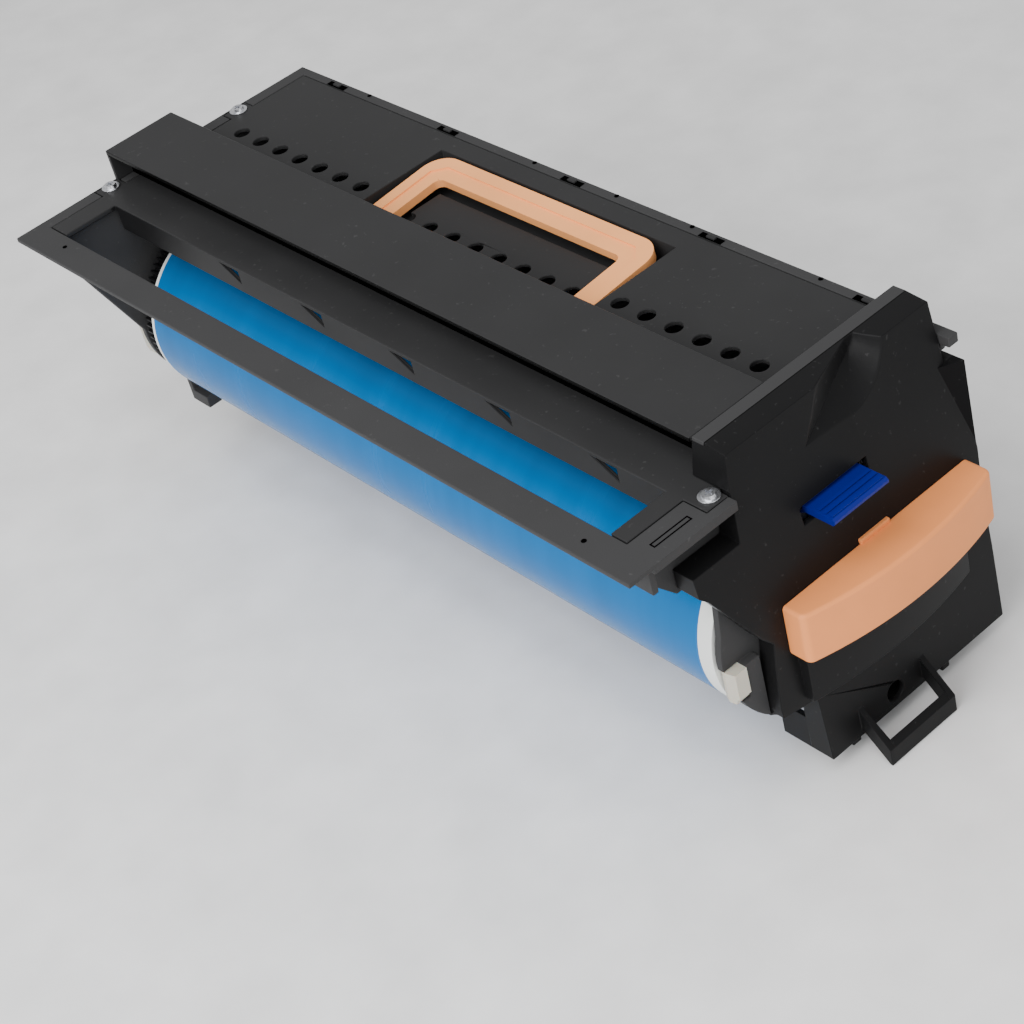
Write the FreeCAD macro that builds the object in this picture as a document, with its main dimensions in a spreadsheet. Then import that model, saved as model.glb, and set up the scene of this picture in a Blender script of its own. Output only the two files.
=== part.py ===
import FreeCAD, Part
import math
import os
import re
import Sketcher

# Printer drum unit, in millimetres, +Z up.
# The origin lies on the drum axis, in the plane of the deck's rear edge.
# X runs from the drive end to the grip, -Y is the open side of the drum.

document = FreeCAD.newDocument("DrumUnit")

# Driving dimensions: name, value, meaning
SIZES = [
    ("drum_radius", 42, "outside of the coated tube"),
    ("tube_wall", 1.6, "aluminium wall of the tube"),
    ("tube_rear", 29.3, "deck rear edge to the tube"),
    ("tube_length", 340.8, "coated length"),
    ("ring_width", 6.9, "white ring in front of the tube"),
    ("lip_width", 1.8, "thin white ring behind the tube"),
    ("plug_depth", 14, "how far an end flange goes into the tube"),
    ("shaft_radius", 5, "steel shaft of the drum"),
    ("fit_gap", 0.05, "radial clearance of a shaft in its bore"),
    ("seat_gap", 0.3, "clearance between pieces that fit together"),
    ("deck_top", 65.3, "deck above the drum axis"),
    ("deck_near", 73.7, "near flange edge from the axis"),
    ("deck_far", 85.2, "far rim edge from the axis"),
    ("plate_thick", 2, "deck plate"),
    ("ledge_thick", 2, "ledge that carries the deck plate"),
    ("ledge_width", 4, "ledge under the edge of the deck plate"),
    ("groove_gap", 0.6, "parting line between deck plate and rim"),
    ("cover_rear", 6.6, "parting line at the rear"),
    ("rail_thick", 2.5, "rail under the near flange"),
    ("rail_drop", 11.3, "rail below the rim"),
    ("window_rear", 18.7, "rear end of the exposure window"),
    ("window_near", 60.1, "near edge of the window from the axis"),
    ("window_far", 33.7, "far edge of the window from the axis"),
    ("baffle_thick", 1.8, "wall that hangs along the window"),
    ("baffle_drop", 12.4, "deck top to the lower edge of that wall"),
    ("notch_first", 110, "upright side of the first notch in that wall"),
    ("notch_pitch", 56.5, "spacing of the notches"),
    ("notch_count", 5, "notches in that wall"),
    ("notch_long", 12, "length of a notch"),
    ("notch_tall", 5.6, "depth of a notch"),
    ("hood_rear", 0.6, "rear end of the duct hood"),
    ("hood_near", 21.2, "open edge of the hood from the axis"),
    ("hood_far", 14.7, "closed side of the hood from the axis"),
    ("hood_rise", 14.8, "hood above the deck"),
    ("hood_wall", 2, "wall of the hood"),
    ("vent_radius", 3.55, "vent hole"),
    ("vent_first", 22.06, "first vent hole"),
    ("vent_pitch", 14.43, "spacing of the vent holes"),
    ("vent_count", 23, "vent holes"),
    ("vent_row", 33.7, "row of vent holes from the axis"),
    ("tub_rear", 118.2, "rear end of the handle recess"),
    ("tub_front", 259.6, "front end of the handle recess"),
    ("tub_wall", 1.6, "wall of the handle recess"),
    ("tub_depth", 11, "deck top to the channel round the handle"),
    ("island_depth", 5.8, "deck top to the raised floor of the recess"),
    ("island_far", 53, "far side of the raised floor"),
    ("handle_rear", 120.7, "rear side of the carry handle"),
    ("handle_front", 256.3, "front side of the carry handle"),
    ("tub_gap", 1.9, "outer edge of the handle to the far side of its recess"),
    ("handle_bar", 12.2, "width of the handle's bars"),
    ("handle_thick", 4.4, "thickness of the handle's bars"),
    ("handle_lip", 0.8, "raised bead on the handle"),
    ("handle_tail", 3.2, "arm end behind the pivot"),
    ("handle_tilt", 5, "slope of the handle at rest, in degrees"),
    ("handle_round", 11, "outer corners of the handle"),
    ("pivot_row", 20.5, "handle pivot from the drum axis"),
    ("pivot_drop", 5.9, "handle pivot below the deck"),
    ("stud_radius", 2, "pivot stud of the handle"),
    ("tab_reach", 5.6, "screw tab beyond the parting line"),
    ("tab_width", 12, "width of a screw tab"),
    ("screw_rear", 4.4, "rear deck screws from the rear edge"),
    ("screw_near", 26.2, "near deck screws from the axis"),
    ("screw_far", 44.7, "far rear deck screw from the axis"),
    ("screw_ledge", 27.6, "near front deck screw from the axis"),
    ("screw_shank", 1.5, "screw shank radius"),
    ("screw_head", 3, "screw head radius"),
    ("screw_rise", 1.9, "screw head height"),
    ("screw_bite", 1.5, "shank beyond the last plate"),
    ("wall_thick", 3, "end walls of the frame"),
    ("rear_wall", 13, "rear end wall from the deck's rear edge"),
    ("side_thick", 2, "far wall"),
    ("frame_foot", 62, "lower edge of the walls below the axis"),
    ("frame_shoulder", 46.5, "step in the front wall above the axis"),
    ("rear_disc", 40, "round part of the rear wall"),
    ("front_disc", 41.6, "round part of the front wall"),
    ("sector_near", 27.6, "inner edge of the thicker near side from the axis"),
    ("sector_low", 11, "lower inner edge of the thicker near side"),
    ("sector_drop", 30.6, "step of the thicker near side below the axis"),
    ("rest_drop", 72.8, "floor below the drum axis"),
    ("foot_long", 10, "rear foot along the drum"),
    ("foot_wide", 10, "rear foot across the drum"),
    ("foot_near", 3, "near rear foot from the axis"),
    ("hook_drop", 4.8, "thickness of the rail hook"),
    ("hook_lip", 4.6, "lip under the hook"),
    ("bearing_radius", 11, "outside of the drum bearings"),
    ("bearing_width", 6, "width of the drum bearings"),
    ("boss_wall", 3, "wall round a bearing"),
    ("journal_radius", 8, "journal of the drive coupling"),
    ("coupling_flange", 13, "flange of the drive coupling"),
    ("socket_radius", 4, "drive socket"),
    ("socket_depth", 8, "depth of the drive socket"),
    ("gear_module", 1, "tooth size of the gear train"),
    ("gear_back", 18.4, "rear face of the gears"),
    ("gear_width", 7.4, "face width of the gears"),
    ("drum_teeth", 78, "teeth of the drum gear"),
    ("idler_teeth", 16, "teeth of the idler gear"),
    ("auger_teeth", 18, "teeth of the auger gear"),
    ("idler_angle", -12, "direction of the idler from the axis, in degrees"),
    ("auger_angle", -8, "direction of the auger from the idler, in degrees"),
    ("idler_pin_radius", 2.5, "pin of the idler gear"),
    ("auger_core", 3, "shaft of the auger"),
    ("auger_radius", 8, "outside of the auger's flight"),
    ("auger_pitch", 27, "pitch of the auger's flight"),
    ("flight_thick", 1.6, "thickness of the flight"),
    ("trough_gap", 2.4, "flight to the trough"),
    ("cleaner_rear", 28, "rear end of the cleaner housing"),
    ("cleaner_wall", 2.4, "walls of the cleaner housing"),
    ("cleaner_top", 31, "top of the cleaner housing above the axis"),
    ("cleaner_foot", 60, "bottom of the cleaner housing below the axis"),
    ("cleaner_near", 28, "near bottom edge of the cleaner housing"),
    ("cleaner_mouth", 49.5, "near edge of the cleaner's top wall"),
    ("sill_near", 35.5, "lip of the cleaner below the drum"),
    ("sill_drop", 28.5, "that lip below the axis"),
    ("drum_gap", 1.2, "drum to the cleaner's end walls"),
    ("blade_angle", 15, "blade contact above the axis, in degrees"),
    ("blade_lean", 80, "direction of the blade, in degrees"),
    ("blade_gap", 0.3, "blade to the drum"),
    ("blade_thick", 2, "rubber blade"),
    ("blade_height", 16, "height of the rubber blade"),
    ("blade_free", 5, "blade below its bracket"),
    ("bracket_thick", 1.6, "steel bracket"),
    ("bracket_far", 66, "far edge of the bracket"),
    ("bracket_screw", 58, "bracket screws from the axis"),
    ("film_thick", 0.35, "recovery film"),
    ("film_reach", 9, "film above the lip"),
    ("film_seat", 8, "film glued on the lip"),
    ("seal_width", 3.2, "foam end seal"),
    ("seal_outer", 46, "outer radius of the foam seal"),
    ("seal_start", -31, "lower end of the foam seal, in degrees"),
    ("seal_sweep", 30, "length of the foam seal, in degrees"),
    ("spacer_long", 7.5, "front spacer along the drum"),
    ("spacer_near", 41.3, "outer face of the front spacer"),
    ("spacer_thick", 6.6, "front spacer across the drum"),
    ("spacer_top", 1.7, "top of the front spacer below the axis"),
    ("spacer_foot", 15.7, "foot of the front spacer below the axis"),
    ("block_rear", 2.5, "rear spacer block from the deck's rear edge"),
    ("block_front", 12.4, "front side of the rear spacer block"),
    ("block_near", 36.3, "outer face of the rear spacer block"),
    ("block_thick", 3.3, "rear spacer across the drum"),
    ("block_top", 4.9, "top of the rear spacer above the axis"),
    ("block_foot", 16.6, "foot of the rear spacer below the axis"),
    ("cap_top", 80.2, "top of the cap above the axis"),
    ("cap_slope", 1.1, "fall of the cap to its front edge"),
    ("cap_near", 20.2, "near top corner of the cap from the axis"),
    ("cap_waist", 25.3, "near edge of the cap at the ledge"),
    ("cover_wall", 2.2, "wall of the front cover"),
    ("block_rise", 54.1, "top of the far block of the cover"),
    ("cover_foot", 64.5, "bottom of the front cover below the axis"),
    ("skirt_near", 9.5, "near side of the skirt from the axis"),
    ("skirt_drop", 49, "top of the skirt below the axis"),
    ("ledge_rise", 47.1, "ledge beside the cap above the axis"),
    ("ledge_near", 47.7, "near end of the ledge from the axis"),
    ("ledge_foot", 36, "lower edge beside the ledge"),
    ("crease_drop", 29.8, "crease below the axis"),
    ("bulge_top", 7.4, "top of the finger bulge below the axis"),
    ("bulge_near", 14.8, "near end of the finger bulge"),
    ("bulge_radius", 190, "curve of the finger bulge"),
    ("bulge_round", 3, "rounded lower edge of the bulge"),
    ("scoop_near", 16, "near side of the finger scoop"),
    ("scoop_far", 57.5, "far top corner of the finger scoop"),
    ("scoop_low", 62.5, "bottom of the finger scoop above the axis"),
    ("scoop_depth", 9, "depth of the finger scoop"),
    ("scoop_radius", 24, "curved side of the finger scoop"),
    ("slot_near", 2.1, "near end of the lever slot"),
    ("slot_far", 35.3, "far end of the lever slot"),
    ("lever_near", 5.3, "near side of the release lever"),
    ("lever_far", 32.4, "far side of the release lever"),
    ("lever_thick", 3, "thickness of the release lever"),
    ("lever_rise", 40.2, "lever pin above the axis"),
    ("lever_hub", 2.7, "hub of the release lever"),
    ("lever_travel", 10, "travel of the release lever, in degrees"),
    ("lever_pin_radius", 1.3, "pin of the release lever"),
    ("lever_rib", 0.6, "ribs on the release lever"),
    ("ear_thick", 2.8, "ears that hold the lever pin"),
    ("wire_radius", 0.3, "spring wire"),
    ("coil_radius", 2.1, "lever spring"),
    ("coil_turns", 3, "turns of the lever spring"),
    ("coil_gap", 0.3, "play at each end of the lever spring"),
    ("grip_near", 17.6, "near end of the front grip"),
    ("grip_top", 15.3, "top of the grip above the axis"),
    ("grip_drop", 7, "bottom of the grip below the axis"),
    ("grip_radius", 165, "curve of the grip"),
    ("grip_wall", 2.6, "wall of the grip"),
    ("grip_round", 1.6, "rounded edges of the grip"),
    ("stirrup_near", 6.4, "near side of the stirrup"),
    ("stirrup_far", 42, "far side of the stirrup"),
    ("stirrup_rise", 52, "top of the stirrup's cheeks below the axis"),
    ("stirrup_lip", 65, "top of its front bar below the axis"),
    ("stirrup_wall", 2.5, "walls of the stirrup"),
    ("latch_radius", 4.2, "round hole behind the stirrup"),
    ("latch_row", 25.6, "round hole from the axis"),
    ("latch_drop", 57.6, "round hole below the axis"),
    ("contact_thick", 0.4, "ground contact strip"),
    ("contact_width", 6, "width of the ground contact"),
    ("contact_drop", 21, "ground contact foot below the axis"),
]

# Measured forwards from the front end of the tube
FRONT_SIZES = [
    ("window_front", -9, "front end of the exposure window"),
    ("cap_rear", -7.1, "rear edge of the front cover's cap"),
    ("skirt_rear", -2.7, "rear edge of the cover's skirt"),
    ("cap_seam", -1.4, "seam across the cap"),
    ("cover_front", -0.5, "parting line at the front"),
    ("shoulder_back", 3.4, "upper part of the front wall"),
    ("cleaner_front", 3.4, "front end of the cleaner housing"),
    ("screw_front", 5.3, "front deck screws"),
    ("spacer_front", 7.7, "rear side of the front spacer block"),
    ("front_wall", 7.9, "front end wall"),
    ("cap_edge", 8.3, "front edge of the cap"),
    ("lever_axis", 10.4, "lever pin along the drum"),
    ("front_disc_end", 14.4, "front of its thicker near side"),
    ("deck_front", 14.6, "front edge of the near flange"),
    ("hook_front", 15.4, "end of the rail hook"),
    ("shaft_front", 15.9, "front end of the drum shaft"),
    ("face_low", 18.7, "face above the grip"),
    ("crease_front", 20.3, "crease under the finger bulge"),
    ("toe_front", 21.8, "bottom edge of the face"),
    ("bulge_front", 23.5, "ends of the finger bulge"),
    ("lever_front", 26.8, "tip of the release lever"),
    ("grip_near_front", 28.4, "front of the grip at its near end"),
    ("grip_far_front", 30.4, "front of the grip at its far end"),
    ("stirrup_front", 34.9, "front of the stirrup"),
]

# Measured inwards from the far edge of the rim
FAR_SIZES = [
    ("far_wall", 2.6, "outside of the far wall"),
    ("cover_far", 4.3, "parting line on the far side"),
    ("hook_near", 4.8, "inner side of the rail hook"),
    ("cleaner_far", 4.9, "far side of the cleaner housing"),
    ("cap_far", 5.4, "far edge of the cap"),
    ("grip_far", 6.9, "far end of the front grip"),
    ("tub_far", 14.4, "far side of the handle recess"),
    ("foot_far", 15.2, "near side of the far rear foot"),
    ("bulge_far", 16.5, "far end of the finger bulge"),
]

sheet = document.addObject("Spreadsheet::Sheet", "Sizes")
for row, (alias, value, meaning) in enumerate(SIZES + FRONT_SIZES + FAR_SIZES, start=1):
    sheet.set("A%d" % row, alias)
    sheet.set("B%d" % row, str(value))
    sheet.set("C%d" % row, meaning)
    sheet.setAlias("B%d" % row, alias)
document.recompute()


FROM_TUBE_END = [alias for alias, value, meaning in FRONT_SIZES]
FROM_FAR_EDGE = [alias for alias, value, meaning in FAR_SIZES]


def placed(text, prefix=""):
    """An expression in the sheet's names, with the sizes of the last two lists set from where they are measured."""
    def name_in_sheet(found):
        name = prefix + found.group(0)
        if found.group(0) in FROM_TUBE_END:
            return "(%stube_rear + %stube_length + %s)" % (prefix, prefix, name)
        if found.group(0) in FROM_FAR_EDGE:
            return "(%sdeck_far - %s)" % (prefix, name)
        return name

    return re.sub(r"\b[a-z]+(?:_[a-z]+)+\b", name_in_sheet, text)


def size(text):
    """The value of an expression in the sheet's names."""
    return float(sheet.evalExpression(placed(text)))


def linked(text):
    """The same expression with every name pointing at the sheet."""
    return placed(text, "Sizes.")


# Places that several pieces share
HANDLE_REACH = "(tub_far - tub_gap - pivot_row)"
PLATE_UNDER = "(deck_top - plate_thick)"
RIM_UNDER = "(deck_top - plate_thick - ledge_thick)"
HOOD_TOP = "(deck_top + hood_rise)"
TUBE_FRONT = "(tube_rear + tube_length)"
RING_FRONT = "(tube_rear + tube_length + ring_width)"
LIP_REAR = "(tube_rear - lip_width)"
REAR_WALL_FRONT = "(rear_wall + wall_thick)"
FRONT_WALL_FRONT = "(front_wall + wall_thick)"
COVER_BACK = "(front_wall + wall_thick + seat_gap)"
LEDGE_REAR = "(shoulder_back + seat_gap)"
NECK_NEAR = "(2 - cap_waist)"
FAR_WALL_INSIDE = "(far_wall - side_thick)"
WINDOW_FAR_WALL = "(baffle_thick - window_far)"
PIVOT_HEIGHT = "(deck_top - pivot_drop)"
TUB_NEAR = "(hood_far)"
TUB_FLOOR = "(deck_top - tub_depth)"
ISLAND_TOP = "(deck_top - island_depth)"
ISLAND_REAR = "(handle_rear + handle_bar + 3)"
ISLAND_FRONT = "(handle_front - handle_bar - 3)"
GEAR_FRONT = "(gear_back + gear_width)"
DRUM_PITCH = "(gear_module * drum_teeth / 2)"
IDLER_PITCH = "(gear_module * idler_teeth / 2)"
AUGER_PITCH_RADIUS = "(gear_module * auger_teeth / 2)"
IDLER_REACH = "(%s + %s)" % (DRUM_PITCH, IDLER_PITCH)
AUGER_REACH = "(%s + %s)" % (IDLER_PITCH, AUGER_PITCH_RADIUS)
IDLER_Y = "(%s * cos(idler_angle * 1 deg))" % IDLER_REACH
IDLER_Z = "(%s * sin(idler_angle * 1 deg))" % IDLER_REACH
AUGER_Y = "(%s + %s * cos(auger_angle * 1 deg))" % (IDLER_Y, AUGER_REACH)
AUGER_Z = "(%s + %s * sin(auger_angle * 1 deg))" % (IDLER_Z, AUGER_REACH)
TROUGH_RADIUS = "(auger_radius + trough_gap)"
FLOOR = "(-rest_drop)"
FACE_TOP = "(cap_top - cap_slope)"
FACE_RUN = "((face_low - cap_edge) / (%s - grip_top))" % FACE_TOP


# Steps in a turn of the spring and sides of its wire, few enough to keep its mesh small
COIL_STEPS = 12
WIRE_CORNERS = 6


# Sketch helpers
SPREAD = {"XY": "%s", "YZ": "%s", "XZ": "-(%s)"}


def drawing_on(body, name, plane, level):
    """An empty sketch on one of the body's own planes, moved to a level along its axis."""
    drawing = body.newObject("Sketcher::SketchObject", name)
    planes = [feature for feature in body.Origin.OriginFeatures if feature.Role == plane + "_Plane"]
    drawing.AttachmentSupport = [(planes[0], "")]
    drawing.MapMode = "FlatFace"
    drawing.setExpression("AttachmentOffset.Base.z", linked(SPREAD[plane] % level))
    return drawing


def bow_middle(start, end, radius):
    """The middle point of an arc that bulges to the right of its chord, or left if negative."""
    chord = end - start
    half = chord.Length / 2
    reach = max(abs(radius), half * 1.0001)
    rise = reach - math.sqrt(reach * reach - half * half)
    side = FreeCAD.Vector(chord.y, -chord.x, 0).normalize()
    return (start + end) * 0.5 + side * math.copysign(rise, radius)


def draw_loop(drawing, corners):
    """A closed outline. A corner with a third entry starts an arc of that radius."""
    points = [FreeCAD.Vector(size(corner[0]), size(corner[1]), 0) for corner in corners]
    first = drawing.GeometryCount
    pieces = []
    ends = []
    for index, corner in enumerate(corners):
        start = points[index]
        end = points[(index + 1) % len(points)]
        if len(corner) == 3:
            middle = bow_middle(start, end, size(corner[2]))
            clockwise = size(corner[2]) < 0
            if clockwise:
                pieces.append(Part.Arc(end, middle, start))
                ends.append((2, 1))
            else:
                pieces.append(Part.Arc(start, middle, end))
                ends.append((1, 2))
        else:
            pieces.append(Part.LineSegment(start, end))
            ends.append((1, 2))
    drawing.addGeometry(pieces, False)
    rules = []
    bound = []
    for index in range(len(corners)):
        following = (index + 1) % len(corners)
        rules.append(Sketcher.Constraint(
            "Coincident", first + index, ends[index][1], first + following, ends[following][0]))
        bound.append(None)
    for index, corner in enumerate(corners):
        near = ends[index][0]
        rules.append(Sketcher.Constraint("DistanceX", -1, 1, first + index, near, points[index].x))
        bound.append(corner[0])
        rules.append(Sketcher.Constraint("DistanceY", -1, 1, first + index, near, points[index].y))
        bound.append(corner[1])
        if len(corner) == 3:
            rules.append(Sketcher.Constraint("Radius", first + index, abs(size(corner[2]))))
            bound.append("abs(%s)" % corner[2])
    bind_rules(drawing, rules, bound)


def draw_circle(drawing, across, up, radius):
    centre = FreeCAD.Vector(size(across), size(up), 0)
    first = drawing.GeometryCount
    drawing.addGeometry([Part.Circle(centre, FreeCAD.Vector(0, 0, 1), size(radius))], False)
    rules = [
        Sketcher.Constraint("DistanceX", -1, 1, first, 3, centre.x),
        Sketcher.Constraint("DistanceY", -1, 1, first, 3, centre.y),
        Sketcher.Constraint("Radius", first, size(radius)),
    ]
    bind_rules(drawing, rules, [across, up, radius])


def bind_rules(drawing, rules, bound):
    numbers = drawing.addConstraint(rules)
    for number, text in zip(numbers, bound):
        if text is not None:
            drawing.setExpression("Constraints[%d]" % number, linked(text))


def loop(*corners):
    return lambda drawing: draw_loop(drawing, corners)


def circle(across, up, radius):
    return lambda drawing: draw_circle(drawing, across, up, radius)


def rectangle(left, bottom, right, top):
    return loop((left, bottom), (right, bottom), (right, top), (left, top))


# Feature helpers
def new_body(label):
    body = document.addObject("PartDesign::Body", label)
    body.Label = label
    return body


def sketched(body, name, plane, low, high, outlines):
    level = high if plane == "XZ" else low
    drawing = drawing_on(body, name + "_outline", plane, level)
    for outline in outlines:
        outline(drawing)
    return drawing


def pad(body, name, plane, low, high, *outlines):
    """Material between two levels of a plane's axis."""
    feature = body.newObject("PartDesign::Pad", name)
    feature.Profile = sketched(body, name, plane, low, high, outlines)
    feature.setExpression("Length", linked("(%s) - (%s)" % (high, low)))
    body.Tip = feature
    return feature


def cut(body, name, plane, low, high, *outlines):
    """An opening between two levels of a plane's axis."""
    feature = body.newObject("PartDesign::Pocket", name)
    feature.Profile = sketched(body, name, plane, low, high, outlines)
    feature.Reversed = True
    feature.setExpression("Length", linked("(%s) - (%s)" % (high, low)))
    body.Tip = feature
    return feature


def turned(body, name, *outlines):
    """A profile of distance along X and radius, revolved round the drum axis."""
    drawing = drawing_on(body, name + "_outline", "XZ", "0")
    for outline in outlines:
        outline(drawing)
    feature = body.newObject("PartDesign::Revolution", name)
    feature.Profile = drawing
    feature.ReferenceAxis = (drawing, ["H_Axis"])
    feature.Angle = 360
    body.Tip = feature
    return feature


def repeat(body, name, original, pitch, count):
    """Copies of a feature along X."""
    pattern = body.newObject("PartDesign::LinearPattern", name)
    pattern.Originals = [original]
    pattern.Direction = (original.Profile[0], ["H_Axis"])
    pattern.setExpression("Length", linked("(%s) * ((%s) - 1)" % (pitch, count)))
    pattern.setExpression("Occurrences", linked(count))
    body.Tip = pattern
    return pattern


def blended(body, name, radius, wanted):
    """Rounded edges, chosen by a test on each edge of the body so far."""
    document.recompute()
    base = body.Tip
    chosen = ["Edge%d" % (index + 1) for index, edge in enumerate(base.Shape.Edges) if wanted(edge)]
    feature = body.newObject("PartDesign::Fillet", name)
    feature.Base = (base, chosen)
    feature.setExpression("Radius", linked(radius))
    body.Tip = feature
    return feature


def runs_along(edge, axis):
    """True for a straight edge along X, Y or Z."""
    if len(edge.Vertexes) != 2 or not isinstance(edge.Curve, Part.Line):
        return False
    step = edge.Vertexes[1].Point - edge.Vertexes[0].Point
    return abs(step["XYZ".index(axis)]) > 0.999 * step.Length


def lies_at(edge, **places):
    """True where the middle of the edge has the given x, y or z."""
    middle = edge.CenterOfMass
    return all(abs(getattr(middle, axis) - size(text)) < 0.02 for axis, text in places.items())


# Main frame: rim and flange of the deck, end walls, far wall, feet and rail hook
def main_frame():
    body = new_body("main_frame")
    cap_back = "(cap_edge - cover_wall)"
    corner_near = "(%s - 2 * seat_gap)" % NECK_NEAR
    pad(body, "rim", "XY", RIM_UNDER, "deck_top", loop(
        ("0", "-window_near - rail_thick"), ("deck_front", "-window_near - rail_thick"),
        ("deck_front", corner_near), (cap_back, corner_near), (cap_back, "hook_near"),
        ("hook_front", "hook_near"), ("hook_front", "deck_far"), ("0", "deck_far")))
    pad(body, "flange", "XY", PLATE_UNDER, "deck_top", rectangle(
        "0", "-deck_near", "deck_front", "-window_near - rail_thick / 2"))
    cut(body, "cover_seat", "XY", PLATE_UNDER, "deck_top + 1", rectangle(
        "cover_rear", "-window_near", "cover_front", "cover_far"))
    tab_half = "(tab_width / 2 + groove_gap)"
    for name, along, row in deck_screws():
        rear, front = (("cover_rear - tab_reach - groove_gap", "cover_rear + 1") if along == "screw_rear"
                       else ("cover_front - 1", "cover_front + 2 * tab_reach"))
        cut(body, "tab_seat_" + name, "XY", PLATE_UNDER, "deck_top + 1", rectangle(
            rear, "%s - %s" % (row, tab_half), front, "%s + %s" % (row, tab_half)))
    cut(body, "opening", "XY", RIM_UNDER + " - 1", "deck_top", rectangle(
        "cover_rear + ledge_width + 5", "-window_near",
        "cover_front - ledge_width", "cover_far - ledge_width"))
    pad(body, "near_rail", "XY", RIM_UNDER + " - rail_drop", RIM_UNDER + " + 0.5", rectangle(
        "rear_wall", "-window_near - rail_thick", FRONT_WALL_FRONT, "-window_near"))
    pad(body, "far_side", "XZ", FAR_WALL_INSIDE, "far_wall", loop(
        ("rear_wall", "-frame_foot"), (FRONT_WALL_FRONT, "-frame_foot"),
        (FRONT_WALL_FRONT, "frame_shoulder"), ("shoulder_back", "frame_shoulder"),
        ("shoulder_back", RIM_UNDER + " + 0.5"), ("rear_wall", RIM_UNDER + " + 0.5")))
    pad(body, "rear_plate", "YZ", "rear_wall", REAR_WALL_FRONT, loop(
        ("-window_near - rail_thick", RIM_UNDER + " + 0.5"), ("far_wall", RIM_UNDER + " + 0.5"),
        ("far_wall", "-frame_foot"), ("foot_near", "-frame_foot"),
        ("-rear_disc / 2", "-rear_disc * 0.7"), ("-rear_disc * 0.98", "0"),
        ("-window_near - rail_thick", RIM_UNDER + " - rail_drop")))
    pad(body, "rear_round", "YZ", "rear_wall", REAR_WALL_FRONT, circle("0", "0", "rear_disc"))
    pad(body, "front_plate", "YZ", "front_wall", FRONT_WALL_FRONT, loop(
        ("-front_disc * 0.98", "0"), ("-front_disc * 0.9", "ledge_foot - seat_gap"),
        ("-cap_near - 1", "ledge_foot - seat_gap"), ("-cap_near - 1", "frame_shoulder"),
        ("far_wall", "frame_shoulder"),
        ("far_wall", "-frame_foot"), ("foot_near", "-frame_foot"),
        ("-skirt_near + cover_wall + 2 * seat_gap", "-front_disc * 0.95")))
    pad(body, "front_round", "YZ", "front_wall", FRONT_WALL_FRONT, circle("0", "0", "front_disc"))
    pad(body, "front_sector", "YZ", FRONT_WALL_FRONT + " - 0.5", "front_disc_end", loop(
        ("-sqrt(front_disc * front_disc - spacer_top * spacer_top)", "-spacer_top", "front_disc"),
        ("-sector_low", "-sqrt(front_disc * front_disc - sector_low * sector_low)"),
        ("-sector_low", "-sector_drop - wall_thick"), ("-sector_near", "-sector_drop"),
        ("-sector_near", "-spacer_top")))
    pad(body, "shoulder", "XY", "frame_shoulder - wall_thick", "frame_shoulder", rectangle(
        "shoulder_back - wall_thick", "-cap_near", FRONT_WALL_FRONT, "far_wall"))
    pad(body, "upper_front", "YZ", "shoulder_back - wall_thick", "shoulder_back", loop(
        ("-ledge_near", "ledge_foot"), ("-cap_waist - 1", "ledge_foot"),
        ("-cap_near", "frame_shoulder - wall_thick / 2"),
        ("far_wall", "frame_shoulder - wall_thick / 2"), ("far_wall", RIM_UNDER + " + 0.5"),
        ("-window_near", RIM_UNDER + " + 0.5"), ("-window_near", RIM_UNDER + " - rail_drop")))
    pad(body, "rear_boss", "YZ", "rear_wall - wall_thick", "rear_wall + 0.5", circle(
        "0", "0", "bearing_radius + boss_wall"))
    cut(body, "rear_bearing_seat", "YZ", "rear_wall - wall_thick - 1", REAR_WALL_FRONT + " + 1",
        circle("0", "0", "bearing_radius + fit_gap"))
    cut(body, "front_bearing_seat", "YZ", "front_wall - 1", "front_disc_end + 1",
        circle("0", "0", "bearing_radius + fit_gap"))
    cut(body, "idler_pin_hole", "YZ", "rear_wall - 1", REAR_WALL_FRONT + " + 1",
        circle(IDLER_Y, IDLER_Z, "idler_pin_radius + fit_gap"))
    cut(body, "auger_hole", "YZ", "rear_wall - 1", REAR_WALL_FRONT + " + 1",
        circle(AUGER_Y, AUGER_Z, "auger_core + fit_gap"))
    cut(body, "auger_front_hole", "YZ", "front_wall - 1", FRONT_WALL_FRONT + " + 1",
        circle(AUGER_Y, AUGER_Z, "auger_core + 4 * fit_gap"))
    cut(body, "lever_opening", "YZ", "front_wall - 1", "front_disc_end + 1", rectangle(
        "slot_near - ear_thick - 3", "lever_rise - 9", "slot_far + ear_thick + 3", "frame_shoulder + 1"))
    cut(body, "lever_headroom", "XY", "frame_shoulder - wall_thick - 1", "frame_shoulder + 1", rectangle(
        "front_wall - 1.5", "slot_near - ear_thick - 3", FRONT_WALL_FRONT + " + 1",
        "slot_far + ear_thick + 3"))
    cut(body, "spacer_notch", "YZ", "front_wall - 1", "front_disc_end + 1", rectangle(
        "-front_disc - 1", "-spacer_foot - seat_gap",
        "-spacer_near + spacer_thick", "-spacer_top + seat_gap"))
    pad(body, "spacer_lug", "XY", "-block_foot + 2", "block_top - 2", rectangle(
        "block_rear", "-block_near + block_thick", "rear_wall + 0.5",
        "-block_near + block_thick + wall_thick"))
    pad(body, "rear_toe", "XY", "-rear_disc - 6", "-rear_disc", rectangle(
        "rear_wall", "-28", "tube_rear - 3", "-21"))
    pad(body, "rear_toe_web", "YZ", "rear_wall", REAR_WALL_FRONT, rectangle(
        "-28", "-rear_disc - 6", "-14", "-rear_disc + 12"))
    for name, row in (("near", "foot_near"), ("far", "foot_far")):
        pad(body, "foot_" + name, "XY", FLOOR, "-frame_foot + 4", rectangle(
            "rear_wall", row, "rear_wall + foot_long", row + " + foot_wide"))
    cut(body, "hook_relief", "XZ", "far_wall", "deck_far + 1", rectangle(
        "tube_rear", RIM_UNDER + " - 1", "front_wall - 6", RIM_UNDER + " + ledge_thick - 0.2"))
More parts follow.
